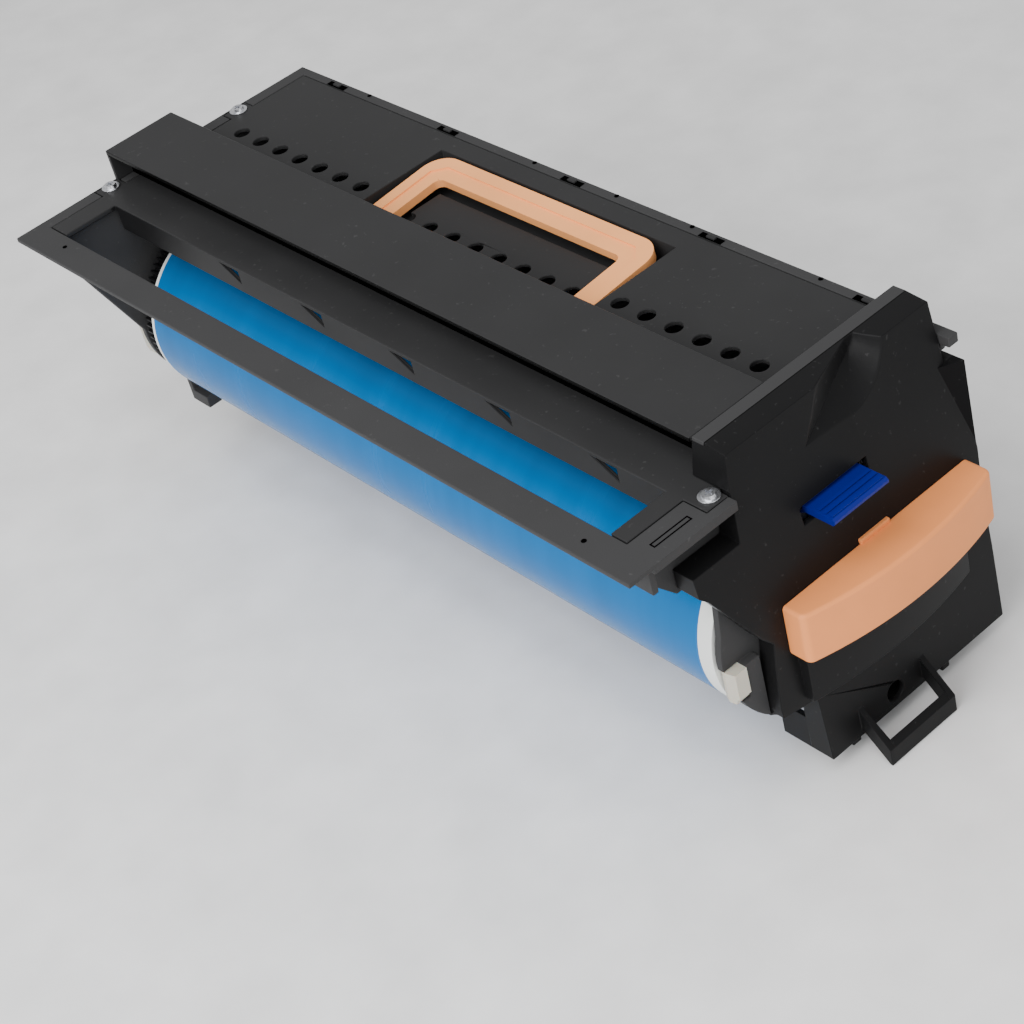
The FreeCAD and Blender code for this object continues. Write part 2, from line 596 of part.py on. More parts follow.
    pad(body, "hook_web", "XZ", "far_wall - 0.5", "deck_far", loop(
        ("front_wall - 6", RIM_UNDER + " + 0.5"), ("front_wall - 6", RIM_UNDER + " - hook_lip"),
        ("front_wall + 0.8", RIM_UNDER + " - hook_lip - 1"), ("front_wall + 2", RIM_UNDER),
        ("hook_front", RIM_UNDER), ("hook_front", RIM_UNDER + " + 0.5")))
    for name, along, row in deck_screws():
        cut(body, "screw_hole_" + name, "XY", RIM_UNDER + " - 20", "deck_top + 1",
            circle(along, row, "screw_shank + fit_gap"))
    for name, row, level, end in cover_screws():
        cut(body, "cover_hole_" + name, "YZ", "front_wall - 1", "front_disc_end + 1",
            circle(row, level, "screw_shank + fit_gap"))
    return body


def deck_screws():
    """Name, place along X and place along Y of the deck screws."""
    return (("rear_near", "screw_rear", "-screw_near"), ("rear_far", "screw_rear", "screw_far"),
            ("front_near", "screw_front", "-screw_ledge"))


def cover_screws():
    """Name, Y, Z and boss end of the screws that hold the front cover from behind."""
    return (("far", "far_wall - 9", "30", face_line("34", "cover_wall / 2")),
            ("low_far", "far_wall - 9", "-50", "crease_front - cover_wall / 2"),
            ("low_near", "stirrup_near + 5", "-50", "crease_front - cover_wall / 2"))


# Top cover: deck plate with window, duct hood, vent holes and the handle recess
def top_cover():
    body = new_body("top_cover")
    rear = "(cover_rear + groove_gap)"
    front = "(cover_front - groove_gap)"
    near = "(groove_gap - window_near)"
    far = "(cover_far - groove_gap)"
    pad(body, "plate", "XY", PLATE_UNDER, "deck_top", rectangle(rear, near, front, far))
    for name, along, row in deck_screws():
        start, end = (("cover_rear - tab_reach", rear + " + 1") if along == "screw_rear"
                      else (front + " - 1", "cover_front + 2 * tab_reach - groove_gap"))
        pad(body, "tab_" + name, "XY", PLATE_UNDER, "deck_top", rectangle(
            start, row + " - tab_width / 2", end, row + " + tab_width / 2"))
    cut(body, "tab_corner", "XY", PLATE_UNDER + " - 1", "deck_top + 1", rectangle(
        "cap_edge - cover_wall", NECK_NEAR + " - seat_gap", "cover_front + 2 * tab_reach",
        "tab_width / 2 - screw_ledge + 1"))
    cut(body, "window", "XY", PLATE_UNDER + " - 1", "deck_top + 1", rectangle(
        "window_rear", "-window_near", "window_front", "-window_far"))
    pad(body, "baffle", "XZ", "-window_far", WINDOW_FAR_WALL, rectangle(
        "window_rear", "deck_top - baffle_drop", "window_front", "deck_top"))
    notch = cut(body, "notch", "XZ", "-window_far - 1", WINDOW_FAR_WALL + " + 1", loop(
        ("notch_first", PLATE_UNDER), ("notch_first", PLATE_UNDER + " - notch_tall"),
        ("notch_first - notch_long", PLATE_UNDER)))
    repeat(body, "notches", notch, "notch_pitch", "notch_count")
    pad(body, "hood", "YZ", "hood_rear", "cap_rear - seat_gap", loop(
        ("hood_far", "deck_top"), ("hood_far", HOOD_TOP), ("-hood_near", HOOD_TOP),
        ("-hood_near", HOOD_TOP + " - hood_wall"), ("hood_far - hood_wall", HOOD_TOP + " - hood_wall"),
        ("hood_far - hood_wall", "deck_top")))
    pad(body, "hood_end", "YZ", "hood_rear", "hood_rear + hood_wall", rectangle(
        "-hood_near", "deck_top", "hood_far", HOOD_TOP))
    pad(body, "tub", "XY", TUB_FLOOR + " - tub_wall", PLATE_UNDER + " + 0.5", rectangle(
        "tub_rear - tub_wall", TUB_NEAR + " - tub_wall", "tub_front + tub_wall", "tub_far + tub_wall"))
    cut(body, "tub_room", "XY", TUB_FLOOR, "deck_top + 1", rectangle(
        "tub_rear", TUB_NEAR, "tub_front", "tub_far"))
    pad(body, "island", "XY", TUB_FLOOR + " - 0.5", ISLAND_TOP, rectangle(
        ISLAND_REAR, TUB_NEAR + " - 0.5", ISLAND_FRONT, "island_far"))
    cut(body, "island_room", "XY", TUB_FLOOR + " - tub_wall - 1", ISLAND_TOP + " - tub_wall", rectangle(
        ISLAND_REAR + " + tub_wall", TUB_NEAR + " + tub_wall",
        ISLAND_FRONT + " - tub_wall", "island_far - tub_wall"))
    for name, start, end in (("rear", "tub_rear - tub_wall - 1", "handle_rear"),
                             ("front", "handle_front", "tub_front + tub_wall + 1")):
        cut(body, "stud_hole_" + name, "YZ", start, end,
            circle("pivot_row", PIVOT_HEIGHT, "stud_radius + fit_gap"))
    vent = cut(body, "vent", "XY", TUB_FLOOR + " - tub_wall - 1", "deck_top + 1",
               circle("vent_first", "vent_row", "vent_radius"))
    repeat(body, "vents", vent, "vent_pitch", "vent_count")
    for name, along, row in deck_screws():
        cut(body, "screw_hole_" + name, "XY", PLATE_UNDER + " - 1", "deck_top + 1",
            circle(along, row, "screw_shank + fit_gap"))
    return body


# Carry handle, drawn at its pivot and laid back into the recess
def carry_handle():
    body = new_body("carry_handle")
    half = "(handle_thick / 2)"
    inner_rear = "(handle_rear + handle_bar)"
    inner_front = "(handle_front - handle_bar)"
    pad(body, "bail", "XY", "-" + half, half, loop(
        ("handle_rear", "-handle_tail"), (inner_rear, "-handle_tail"),
        (inner_rear, HANDLE_REACH + " - handle_bar"), (inner_front, HANDLE_REACH + " - handle_bar"),
        (inner_front, "-handle_tail"), ("handle_front", "-handle_tail"),
        ("handle_front", HANDLE_REACH), ("handle_rear", HANDLE_REACH)))
    blended(body, "outer_corners", "handle_round", lambda edge: runs_along(edge, "Z")
            and lies_at(edge, y=HANDLE_REACH))
    blended(body, "inner_corners", "handle_round / 3", lambda edge: runs_along(edge, "Z")
            and lies_at(edge, y=HANDLE_REACH + " - handle_bar"))
    blended(body, "arm_ends", "handle_thick / 2 - 0.9", lambda edge: runs_along(edge, "X")
            and lies_at(edge, y="-handle_tail"))
    bead_in = "(handle_bar * 0.45)"
    cut(body, "inner_band", "XY", half + " - handle_lip", half + " + 1", loop(
        ("handle_rear + " + bead_in, "-handle_tail - 1"), (inner_rear + " + 1", "-handle_tail - 1"),
        (inner_rear + " + 1", HANDLE_REACH + " - handle_bar - 1"),
        (inner_front + " - 1", HANDLE_REACH + " - handle_bar - 1"), (inner_front + " - 1", "-handle_tail - 1"),
        ("handle_front - " + bead_in, "-handle_tail - 1"),
        ("handle_front - " + bead_in, HANDLE_REACH + " - %s - handle_round / 2" % bead_in),
        ("handle_front - %s - handle_round / 2" % bead_in, HANDLE_REACH + " - " + bead_in),
        ("handle_rear + %s + handle_round / 2" % bead_in, HANDLE_REACH + " - " + bead_in),
        ("handle_rear + " + bead_in, HANDLE_REACH + " - %s - handle_round / 2" % bead_in)))
    pad(body, "rear_stud", "YZ", "tub_rear - tub_wall + seat_gap", "handle_rear + 1",
        circle("0", "0", "stud_radius"))
    pad(body, "front_stud", "YZ", "handle_front - 1", "tub_front + tub_wall - seat_gap",
        circle("0", "0", "stud_radius"))
    body.setExpression("Placement.Base.y", linked("pivot_row"))
    body.setExpression("Placement.Base.z", linked(PIVOT_HEIGHT))
    body.Placement.Rotation = FreeCAD.Rotation(FreeCAD.Vector(1, 0, 0), size("handle_tilt"))
    body.setExpression("Placement.Rotation.Angle", linked("handle_tilt * 1 deg"))
    return body


# Front cover: cap with finger scoop, leaning face, ledge, finger bulge, skirt and stirrup
def face_line(level, inset):
    """X of the leaning face at a height, moved back by an inset."""
    return "(face_low + %s * (grip_top - (%s)) - (%s))" % (FACE_RUN, level, inset)


def front_cover():
    body = new_body("front_cover")
    front_limit = "(toe_front + 1)"
    pad(body, "face_block", "YZ", COVER_BACK, front_limit, loop(
        ("-cap_waist", "ledge_rise"), ("-ledge_near", "ledge_rise"), ("-ledge_near", "ledge_foot + 3"),
        ("-ledge_near + 3", "ledge_foot"), ("-cap_waist - 3", "8"), ("-cap_waist + 1.6", "2.5"),
        ("-cap_waist - 1.8", "-crease_drop + 4"), ("-cap_waist - 1.8", "-crease_drop"),
        ("-skirt_near - 1", "-crease_drop - 3"), ("-skirt_near", "-cover_foot"),
        ("deck_far", "-cover_foot"), ("deck_far", "ledge_rise")))
    pad(body, "shoulder_block", "YZ", LEDGE_REAR, front_limit, loop(
        ("-ledge_near", "ledge_foot + 3"), ("-ledge_near + 3", "ledge_foot"),
        ("-ledge_near + 6", "ledge_foot"), ("-ledge_near + 6", "ledge_rise - cover_wall"),
        ("far_wall + seat_gap", "ledge_rise - cover_wall"), ("far_wall + seat_gap", "ledge_rise - 12"),
        ("deck_far", "ledge_rise - 12"), ("deck_far", "block_rise"), ("cap_far", "block_rise"),
        ("cap_far", RIM_UNDER + " - seat_gap"), (NECK_NEAR, RIM_UNDER + " - seat_gap"),
        ("-cap_waist", "ledge_rise"), ("-ledge_near", "ledge_rise")))
    pad(body, "cap_block", "YZ", "cap_rear", front_limit, loop(
        ("-cap_waist + 2.2", "deck_top + seat_gap"), ("cap_far", "deck_top + seat_gap"),
        ("cap_far", "cap_top"), ("-cap_near", "cap_top")))
    pad(body, "neck_block", "YZ", "cap_edge - cover_wall + seat_gap", front_limit, loop(
        (NECK_NEAR, RIM_UNDER + " - 1"), ("cap_far", RIM_UNDER + " - 1"),
        ("cap_far", "deck_top + 1"), ("-cap_waist + 2.2", "deck_top + 1")))
    pad(body, "skirt", "YZ", "skirt_rear", COVER_BACK + " + 1", rectangle(
        "-skirt_near", "-cover_foot", "deck_far", "-skirt_drop"))
    pad(body, "far_cheek", "YZ", LEDGE_REAR, COVER_BACK + " + 1", rectangle(
        "far_wall + seat_gap", "-cover_foot", "deck_far", "block_rise"))
    cut(body, "face_trim", "XZ", "-ledge_near - 1", "deck_far + 1", loop(
        ("cap_seam", "cap_top"), ("cap_edge", FACE_TOP), ("face_low", "grip_top"),
        ("face_low", "-bulge_top"), ("crease_front", "-crease_drop"), ("toe_front", "-cover_foot - 1"),
        ("toe_front + 5", "-cover_foot - 1"), ("toe_front + 5", "cap_top + 1"),
        ("cap_seam", "cap_top + 1")))
    low = "(-cover_foot + cover_wall)"
    cut(body, "low_room", "XZ", "-skirt_near + cover_wall", "far_wall + seat_gap", loop(
        ("skirt_rear - 1", low), ("toe_front - cover_wall", low),
        ("crease_front - cover_wall", "-crease_drop"), ("crease_front - cover_wall", "-skirt_drop + 18"),
        ("skirt_rear - 1", "-skirt_drop + 18")))
    cut(body, "middle_room", "XZ", "-cap_waist + cover_wall + 1.6", "far_wall + seat_gap", loop(
        (LEDGE_REAR + " - 1", "-crease_drop + cover_wall"),
        ("crease_front - cover_wall - 0.6", "-crease_drop + cover_wall"),
        ("face_low - cover_wall", "-bulge_top"), ("face_low - cover_wall", "grip_top"),
        (face_line("ledge_rise", "cover_wall"), "ledge_rise"), (LEDGE_REAR + " - 1", "ledge_rise")))
    cut(body, "ledge_room", "XZ", "-ledge_near + cover_wall", "-cap_waist + cover_wall + 2", loop(
        (LEDGE_REAR + " - 1", "ledge_foot + cover_wall"),
        (face_line("ledge_foot", "cover_wall"), "ledge_foot + cover_wall"),
        (face_line("ledge_rise", "cover_wall"), "ledge_rise - cover_wall"),
        (LEDGE_REAR + " - 1", "ledge_rise - cover_wall")))
    scoop_back = "(cap_edge - scoop_depth - cover_wall)"
    cut(body, "upper_room", "XZ", "-cap_near + cover_wall", "cap_far - cover_wall", loop(
        ("cap_rear - 1", "ledge_rise - 1"), (face_line("ledge_rise - 1", "cover_wall"), "ledge_rise - 1"),
        (face_line("scoop_low - 5", "cover_wall"), "scoop_low - 5"),
        (scoop_back, "scoop_low - 5"), (scoop_back, "cap_top - cover_wall"),
        ("cap_rear - 1", "cap_top - cover_wall")))
    for name, start, end in (("near", "-cap_near + cover_wall", "scoop_near - 5"),
                             ("far", "scoop_far + 3", "cap_far - cover_wall")):
        cut(body, "cap_room_" + name, "XZ", start, end, loop(
            ("cap_rear + 1", "scoop_low - 6"), (face_line("scoop_low - 6", "cover_wall"), "scoop_low - 6"),
            ("cap_edge - cover_wall", "cap_top - cap_slope - cover_wall"),
            ("cap_rear + 1", "cap_top - cap_slope - cover_wall")))
    pad(body, "bulge", "XY", "-crease_drop", "-bulge_top", loop(
        ("face_low - 1", "-bulge_near"), ("bulge_front", "-bulge_near", "bulge_radius"),
        ("bulge_front", "bulge_far"), ("face_low - 1", "bulge_far")))
    lever_ears(body)
    stirrup(body)
    finger_scoop(body)
    cut(body, "lever_slot", "YZ", "lever_axis - 1", front_limit, rectangle(
        "slot_near", "lever_rise - lever_hub - 1.2", "slot_far", "lever_rise + lever_hub + seat_gap"))
    cut(body, "latch_hole", "YZ", COVER_BACK, front_limit + " + 1",
        circle("latch_row", "-latch_drop", "latch_radius"))
    for name, row, level, end in cover_screws():
        pad(body, "boss_" + name, "YZ", COVER_BACK, end, circle(row, level, "screw_shank + 2"))
        cut(body, "boss_bore_" + name, "YZ", FRONT_WALL_FRONT, FRONT_WALL_FRONT + " + 2.6",
            circle(row, level, "screw_shank + fit_gap"))
    return body


def lever_ears(body):
    for name, start in (("near", "slot_near - ear_thick"), ("far", "slot_far")):
        pad(body, "ear_" + name, "XZ", start, start + " + ear_thick", loop(
            ("lever_axis - 2.6", "lever_rise - 2.6"), ("lever_axis - 2.6", "lever_rise + 2.6"),
            (face_line("lever_rise + 2.6", "cover_wall / 2"), "lever_rise + 2.6"),
            (face_line("lever_rise - 2.6", "cover_wall / 2"), "lever_rise - 2.6")))
    cut(body, "ear_bores", "XZ", "slot_near - ear_thick - 1", "slot_far + ear_thick + 1",
        circle("lever_axis", "lever_rise", "lever_pin_radius + fit_gap"))


def stirrup(body):
    """Two sloping cheeks and a front bar, open through the middle."""
    cheek = (("toe_front - 1.5", "-stirrup_rise - 2"), ("toe_front - 0.6", "-stirrup_rise"),
             ("stirrup_front", "-stirrup_lip"), ("stirrup_front", "-rest_drop"),
             ("stirrup_front - 1", "-rest_drop"), ("toe_front - 1.5", "-cover_foot + 4"))
    pad(body, "cheek_near", "XZ", "stirrup_near", "stirrup_near + stirrup_wall", loop(*cheek))
    pad(body, "cheek_far", "XZ", "stirrup_far - stirrup_wall", "stirrup_far", loop(*cheek))
    pad(body, "stirrup_bar", "XZ", "stirrup_near", "stirrup_far", loop(
        ("stirrup_front - stirrup_wall", "-stirrup_lip + stirrup_wall - 0.3"),
        ("stirrup_front", "-stirrup_lip"), ("stirrup_front", "-rest_drop"),
        ("stirrup_front - stirrup_wall", "-rest_drop + 1.6")))


def finger_scoop(body):
    """A half-moon hollow that deepens from its near side to its curved far side."""
    rim = (("scoop_near + 4", "cap_top - 1"), ("scoop_near", "scoop_low + 1"),
           ("scoop_near + 20", "scoop_low"), ("scoop_far", "cap_top - 1"))
    deep = (("scoop_far - 10", "cap_top + 4"), ("scoop_far - 9.5", "cap_top - 5"),
            ("scoop_far - 9", "cap_top - 5"), ("scoop_far - 6", "cap_top + 4"))
    bows = (None, None, ("scoop_radius * 1.5", "scoop_radius / 3"), None)
    spread = "((face_low - cap_edge) / scoop_depth * 0.75)"
    mouth_loop = []
    floor_loop = []
    for (across, up), (deep_across, deep_up), bow in zip(rim, deep, bows):
        outer = ("%s + (%s - (%s)) * %s" % (across, across, deep_across, spread),
                 "%s + (%s - (%s)) * %s" % (up, up, deep_up, spread))
        if up == "cap_top - 1":
            outer = (outer[0], "cap_top + 8")
        mouth_loop.append(outer + (bow[0],) if bow else outer)
        floor_loop.append((deep_across, deep_up, bow[1]) if bow else (deep_across, deep_up))
    mouth = drawing_on(body, "scoop_mouth", "YZ", "face_low")
    draw_loop(mouth, mouth_loop)
    floor = drawing_on(body, "scoop_floor", "YZ", "cap_edge - scoop_depth")
    draw_loop(floor, floor_loop)
    feature = body.newObject("PartDesign::SubtractiveLoft", "scoop")
    feature.Profile = mouth
    feature.Sections = [floor]
    feature.Ruled = True
    body.Tip = feature


def front_grip():
    body = new_body("front_grip")
    pad(body, "bar", "XY", "-grip_drop", "grip_top", loop(
        ("face_low", "-grip_near"), ("grip_near_front", "-grip_near", "grip_radius"),
        ("grip_far_front", "grip_far"), ("face_low", "grip_far")))
    blended(body, "end_corners", "grip_round * 2", lambda edge: runs_along(edge, "Z")
            and edge.CenterOfMass.x > size("grip_near_front") - 0.1)
    blended(body, "front_edges", "grip_round", lambda edge: edge.CenterOfMass.x > size("grip_near_front") - 2
            and not runs_along(edge, "Z"))
    cut(body, "room", "XY", "-grip_drop + grip_wall", "grip_top - grip_wall", loop(
        ("face_low - 1", "-grip_near + grip_wall"),
        ("grip_near_front - grip_wall - 1", "-grip_near + grip_wall", "grip_radius"),
        ("grip_far_front - grip_wall - 1", "grip_far - grip_wall"), ("face_low - 1", "grip_far - grip_wall")))
    return body


# Release lever with its pin and spring
def release_lever():
    body = new_body("release_lever")
    top = "(lever_rise + lever_thick / 2)"
    under = "(lever_rise - lever_thick / 2)"
    pad(body, "paddle", "XZ", "lever_near", "lever_far", loop(
        ("lever_axis", under), ("lever_front - 1", under), ("lever_front", under + " + 1"),
        ("lever_front", top + " - 1"), ("lever_front - 1", top), ("lever_axis", top)))
    pad(body, "hub", "XZ", "lever_near", "lever_far", circle("lever_axis", "lever_rise", "lever_hub"))
    rib = pad(body, "rib", "XY", top + " - 0.2", top + " + lever_rib", rectangle(
        "lever_front - 8.6", "lever_near + 0.8", "lever_front - 7.2", "lever_far - 0.8"))
    repeat(body, "ribs", rib, "2.9", "3")
    pad(body, "tail", "XZ", "lever_near + 6", "lever_far - 6", rectangle(
        "lever_axis - lever_hub", "lever_rise", "lever_axis - 0.4", "lever_rise + lever_hub + 4"))
    cut(body, "bore", "XZ", "lever_near - 1", "lever_far + 1",
        circle("lever_axis", "lever_rise", "lever_pin_radius + fit_gap"))
    return body


def lever_pin():
    body = new_body("lever_pin")
    pad(body, "pin", "XZ", "slot_near - ear_thick", "slot_far + ear_thick",
        circle("lever_axis", "lever_rise", "lever_pin_radius"))
    return body


def swept(path, section):
    """A solid swept along straight steps, with every step's end cut to meet the next."""
    keep_upright = True
    mitred = 1
    route = Part.makePolygon(path)
    return Part.Wire(route.Edges).makePipeShell([Part.makePolygon(section)], True, keep_upright, mitred)


def coil_path(radius, pitch, length, steps):
    """Points of a coil round Z, with the given number of steps in each turn."""
    total = round(length / pitch * steps)
    turn = 2 * math.pi / steps
    return [FreeCAD.Vector(radius * math.cos(step * turn), radius * math.sin(step * turn),
                           length * step / total) for step in range(total + 1)]


def lever_spring():
    """Coil round the lever pin."""
    wire = size("wire_radius")
    coil = size("coil_radius")
    room = size("slot_far - lever_far - 2 * coil_gap") - 2 * wire
    path = coil_path(coil, room / size("coil_turns"), room, COIL_STEPS)
    corners = [2 * math.pi * corner / WIRE_CORNERS for corner in range(WIRE_CORNERS + 1)]
    section = [FreeCAD.Vector(coil + wire * math.cos(turn), 0, wire * math.sin(turn)) for turn in corners]
    spring = document.addObject("Part::Feature", "lever_spring")
    spring.Label = "lever_spring"
    spring.Shape = swept(path, section)
    spring.Placement = FreeCAD.Placement(
        FreeCAD.Vector(size("lever_axis"), size("slot_far - coil_gap") - wire, size("lever_rise")),
        FreeCAD.Rotation(FreeCAD.Vector(1, 0, 0), 90))
    return spring


# Drum, its end flanges, gear, shaft, coupling and bearings
def drum_tube():
    body = new_body("drum_tube")
    turned(body, "tube", rectangle("tube_rear", "drum_radius - tube_wall", TUBE_FRONT, "drum_radius"))
    return body


def drum_flange(label, outer_end, tube_end, inner_end):
    """A white moulded end flange: ring, plug in the tube and hub on the shaft."""
    body = new_body(label)
    bore = "(shaft_radius + fit_gap)"
    plug = "(drum_radius - tube_wall - fit_gap)"
    turned(body, "flange", loop(
        (outer_end, "drum_radius"), (tube_end, "drum_radius"), (tube_end, plug), (inner_end, plug),
        (inner_end, plug + " - 2.5"), (tube_end, plug + " - 2.5"), (tube_end, bore + " + 5"),
        (inner_end, bore + " + 5"), (inner_end, bore), (outer_end, bore)))
    return body


def drum_shaft():
    body = new_body("drum_shaft")
    end = "(socket_depth + 2)"
    turned(body, "shaft", loop(
        (end, "0"), ("shaft_front", "0"), ("shaft_front", "shaft_radius - 0.6"),
        ("shaft_front - 0.6", "shaft_radius"), (end + " + 0.6", "shaft_radius"),
        (end, "shaft_radius - 0.6")))
    return body


def drive_coupling():
    body = new_body("drive_coupling")
    bore = "(shaft_radius + fit_gap)"
    turned(body, "journal", loop(
        ("0", "socket_radius"), ("0", "journal_radius - 0.8"), ("0.8", "journal_radius"),
        (REAR_WALL_FRONT + " + seat_gap", "journal_radius"),
        (REAR_WALL_FRONT + " + seat_gap", "coupling_flange"), ("gear_back", "coupling_flange"),
        ("gear_back", bore), ("socket_depth + 2", bore), ("socket_depth + 2", "0.5"),
        ("socket_depth", "0.5"), ("socket_depth", "socket_radius")))
    return body


def ball_bearing(label, rear, inner):
    body = new_body(label)
    turned(body, "race", loop(
        (rear, inner), (rear + " + bearing_width", inner),
        (rear + " + bearing_width", inner + " + 1.2"), (rear + " + bearing_width - 0.5", inner + " + 1.2"),
        (rear + " + bearing_width - 0.5", "bearing_radius - 1.2"),
        (rear + " + bearing_width", "bearing_radius - 1.2"),
        (rear + " + bearing_width", "bearing_radius"), (rear, "bearing_radius"),
        (rear, "bearing_radius - 1.2"), (rear + " + 0.5", "bearing_radius - 1.2"),
        (rear + " + 0.5", inner + " + 1.2"), (rear, inner + " + 1.2")))
    return body


# Gear train
def tooth_points(teeth, phase):
    """Outline of a spur gear: four corners to a tooth, with running clearance at the pitch line."""
    module = size("gear_module")
    pitch = module * teeth / 2
    tip = pitch + 0.85 * module
    root = pitch - 1.1 * module
    backlash = 0.12 * module / pitch
    step = 2 * math.pi / teeth
    points = []
    for index in range(teeth):
        middle = phase + index * step
        for radius, share in ((root, 0.37), (tip, 0.125)):
            points.append((radius, middle - share * step + backlash / 2))
        for radius, share in ((tip, 0.125), (root, 0.37)):
            points.append((radius, middle + share * step - backlash / 2))
    return [FreeCAD.Vector(0, radius * math.cos(turn), radius * math.sin(turn)) for radius, turn in points]


def spur_gear(label, teeth, phase, across, up, bore):
    outline = tooth_points(teeth, phase)
    outline.append(outline[0])
    rim = Part.Wire(Part.makePolygon(outline).Edges)
    hole = Part.Wire([Part.makeCircle(bore, FreeCAD.Vector(0, 0, 0), FreeCAD.Vector(1, 0, 0))])
    disc = Part.Face(rim).extrude(FreeCAD.Vector(size("gear_width"), 0, 0))
    core = Part.Face(hole).extrude(FreeCAD.Vector(size("gear_width"), 0, 0))
    gear = document.addObject("Part::Feature", label)
    gear.Label = label
    gear.Shape = disc.cut(core)
    gear.Placement = FreeCAD.Placement(
        FreeCAD.Vector(size("gear_back"), across, up), FreeCAD.Rotation())
    return gear


def gear_train():
    """Drum gear, idler and auger gear, in mesh at rest."""
    drum = int(size("drum_teeth"))
    idler = int(size("idler_teeth"))
    auger = int(size("auger_teeth"))
    towards_idler = math.radians(size("idler_angle"))
    towards_auger = math.radians(size("auger_angle"))
    idler_phase = towards_idler + math.pi + math.pi / idler
    steps = (towards_auger - idler_phase) / (2 * math.pi / idler)
    offset = (steps - math.floor(steps)) * 2 * math.pi / idler
    auger_phase = towards_auger + math.pi + math.pi / auger + offset * idler / auger
    shaft = size("shaft_radius + fit_gap")
    gears = [spur_gear("drum_gear", drum, towards_idler, 0, 0, shaft)]
    gears.append(spur_gear("idler_gear", idler, idler_phase, size(IDLER_Y), size(IDLER_Z),
                           size("idler_pin_radius + fit_gap")))
    gears.append(spur_gear("auger_gear", auger, auger_phase, size(AUGER_Y), size(AUGER_Z),
                           size("auger_core + fit_gap")))
    return gears


def idler_pin():
    body = new_body("idler_pin")
    pad(body, "pin", "YZ", "rear_wall", GEAR_FRONT + " + 1", circle(IDLER_Y, IDLER_Z, "idler_pin_radius"))
    return body


# Cleaner: housing with trough, auger, blade on its bracket, film and foam seals
def cleaner_housing():
    body = new_body("cleaner_housing")
    wall = "cleaner_wall"
    span = ("cleaner_rear", "cleaner_front")
    pad(body, "far_side", "YZ", *span, rectangle(
        "cleaner_far - " + wall, "-cleaner_foot", "cleaner_far", "cleaner_top"))
    pad(body, "roof", "YZ", *span, rectangle(
        "cleaner_mouth", "cleaner_top - " + wall, "cleaner_far - 1", "cleaner_top"))
    pad(body, "near_side", "YZ", *span, loop(
        ("cleaner_near", "-cleaner_foot"), ("cleaner_near + " + wall, "-cleaner_foot"),
        ("sill_near + " + wall, "-sill_drop"), ("sill_near", "-sill_drop")))
    rise = "(%s * 0.5)" % TROUGH_RADIUS
    skin = "(%s + %s)" % (TROUGH_RADIUS, wall)
    pad(body, "trough", "YZ", *span, loop(
        ("cleaner_far - 1", AUGER_Z), ("%s + %s" % (AUGER_Y, TROUGH_RADIUS), AUGER_Z, "-" + TROUGH_RADIUS),
        ("%s - %s * 0.866" % (AUGER_Y, TROUGH_RADIUS), "%s - %s" % (AUGER_Z, rise)),
        ("sill_near + 1", "-sill_drop + 0.4"), ("sill_near + 1", "-sill_drop - " + wall),
        ("%s - %s * 0.707" % (AUGER_Y, skin), "%s - %s * 0.707" % (AUGER_Z, skin), skin),
        ("%s + %s" % (AUGER_Y, skin), "%s - %s" % (AUGER_Z, wall)), ("cleaner_far - 1", "%s - %s" % (AUGER_Z, wall))))
    for name, start in (("rear", "cleaner_rear"), ("front", "cleaner_front - " + wall)):
        pad(body, "end_" + name, "YZ", start, "%s + %s" % (start, wall), loop(
            ("cleaner_near", "-cleaner_foot"), ("cleaner_far", "-cleaner_foot"),
            ("cleaner_far", "cleaner_top"), ("cleaner_mouth", "cleaner_top"),
            ("cleaner_mouth - 8", "cleaner_top - 8"), ("sill_near - 4", "0"), ("sill_near - 2", "-sill_drop")))
    cut(body, "drum_clearance", "YZ", "cleaner_rear - 1", "cleaner_front + 1",
        circle("0", "0", "drum_radius + drum_gap"))
    cut(body, "auger_bores", "YZ", "cleaner_rear - 1", "cleaner_front + 1",
        circle(AUGER_Y, AUGER_Z, "auger_core + fit_gap"))
    for name, along in bracket_screws():
        cut(body, "screw_bore_" + name, "XY", "cleaner_top - cleaner_wall - 1", "cleaner_top + 1",
            circle(along, "bracket_screw", "screw_shank + fit_gap"))
    return body


def bracket_screws():
    """Name and place along X of the screws that hold the blade bracket."""
    return (("rear", "cleaner_rear + 22"), ("middle", "(cleaner_rear + cleaner_front) / 2"),
            ("front", "cleaner_front - 22"))


def blade_corner(along, across):
    """A point of the blade section, measured from its tip along and across the blade."""
    tip_y = "(drum_radius + blade_gap) * cos(blade_angle * 1 deg)"
    tip_z = "(drum_radius + blade_gap) * sin(blade_angle * 1 deg)"
    lean = "blade_lean * 1 deg"
    return ("%s + (%s) * cos(%s) + (%s) * sin(%s)" % (tip_y, along, lean, across, lean),
            "%s + (%s) * sin(%s) - (%s) * cos(%s)" % (tip_z, along, lean, across, lean))


def cleaning_blade():
    body = new_body("cleaning_blade")
    pad(body, "strip", "YZ", "cleaner_rear + cleaner_wall + seal_width + 2 * seat_gap",
        "cleaner_front - cleaner_wall - seal_width - 2 * seat_gap", loop(
            blade_corner("0", "0"), blade_corner("0", "blade_thick"),
            blade_corner("blade_height", "blade_thick"), blade_corner("blade_height", "0")))
    return body


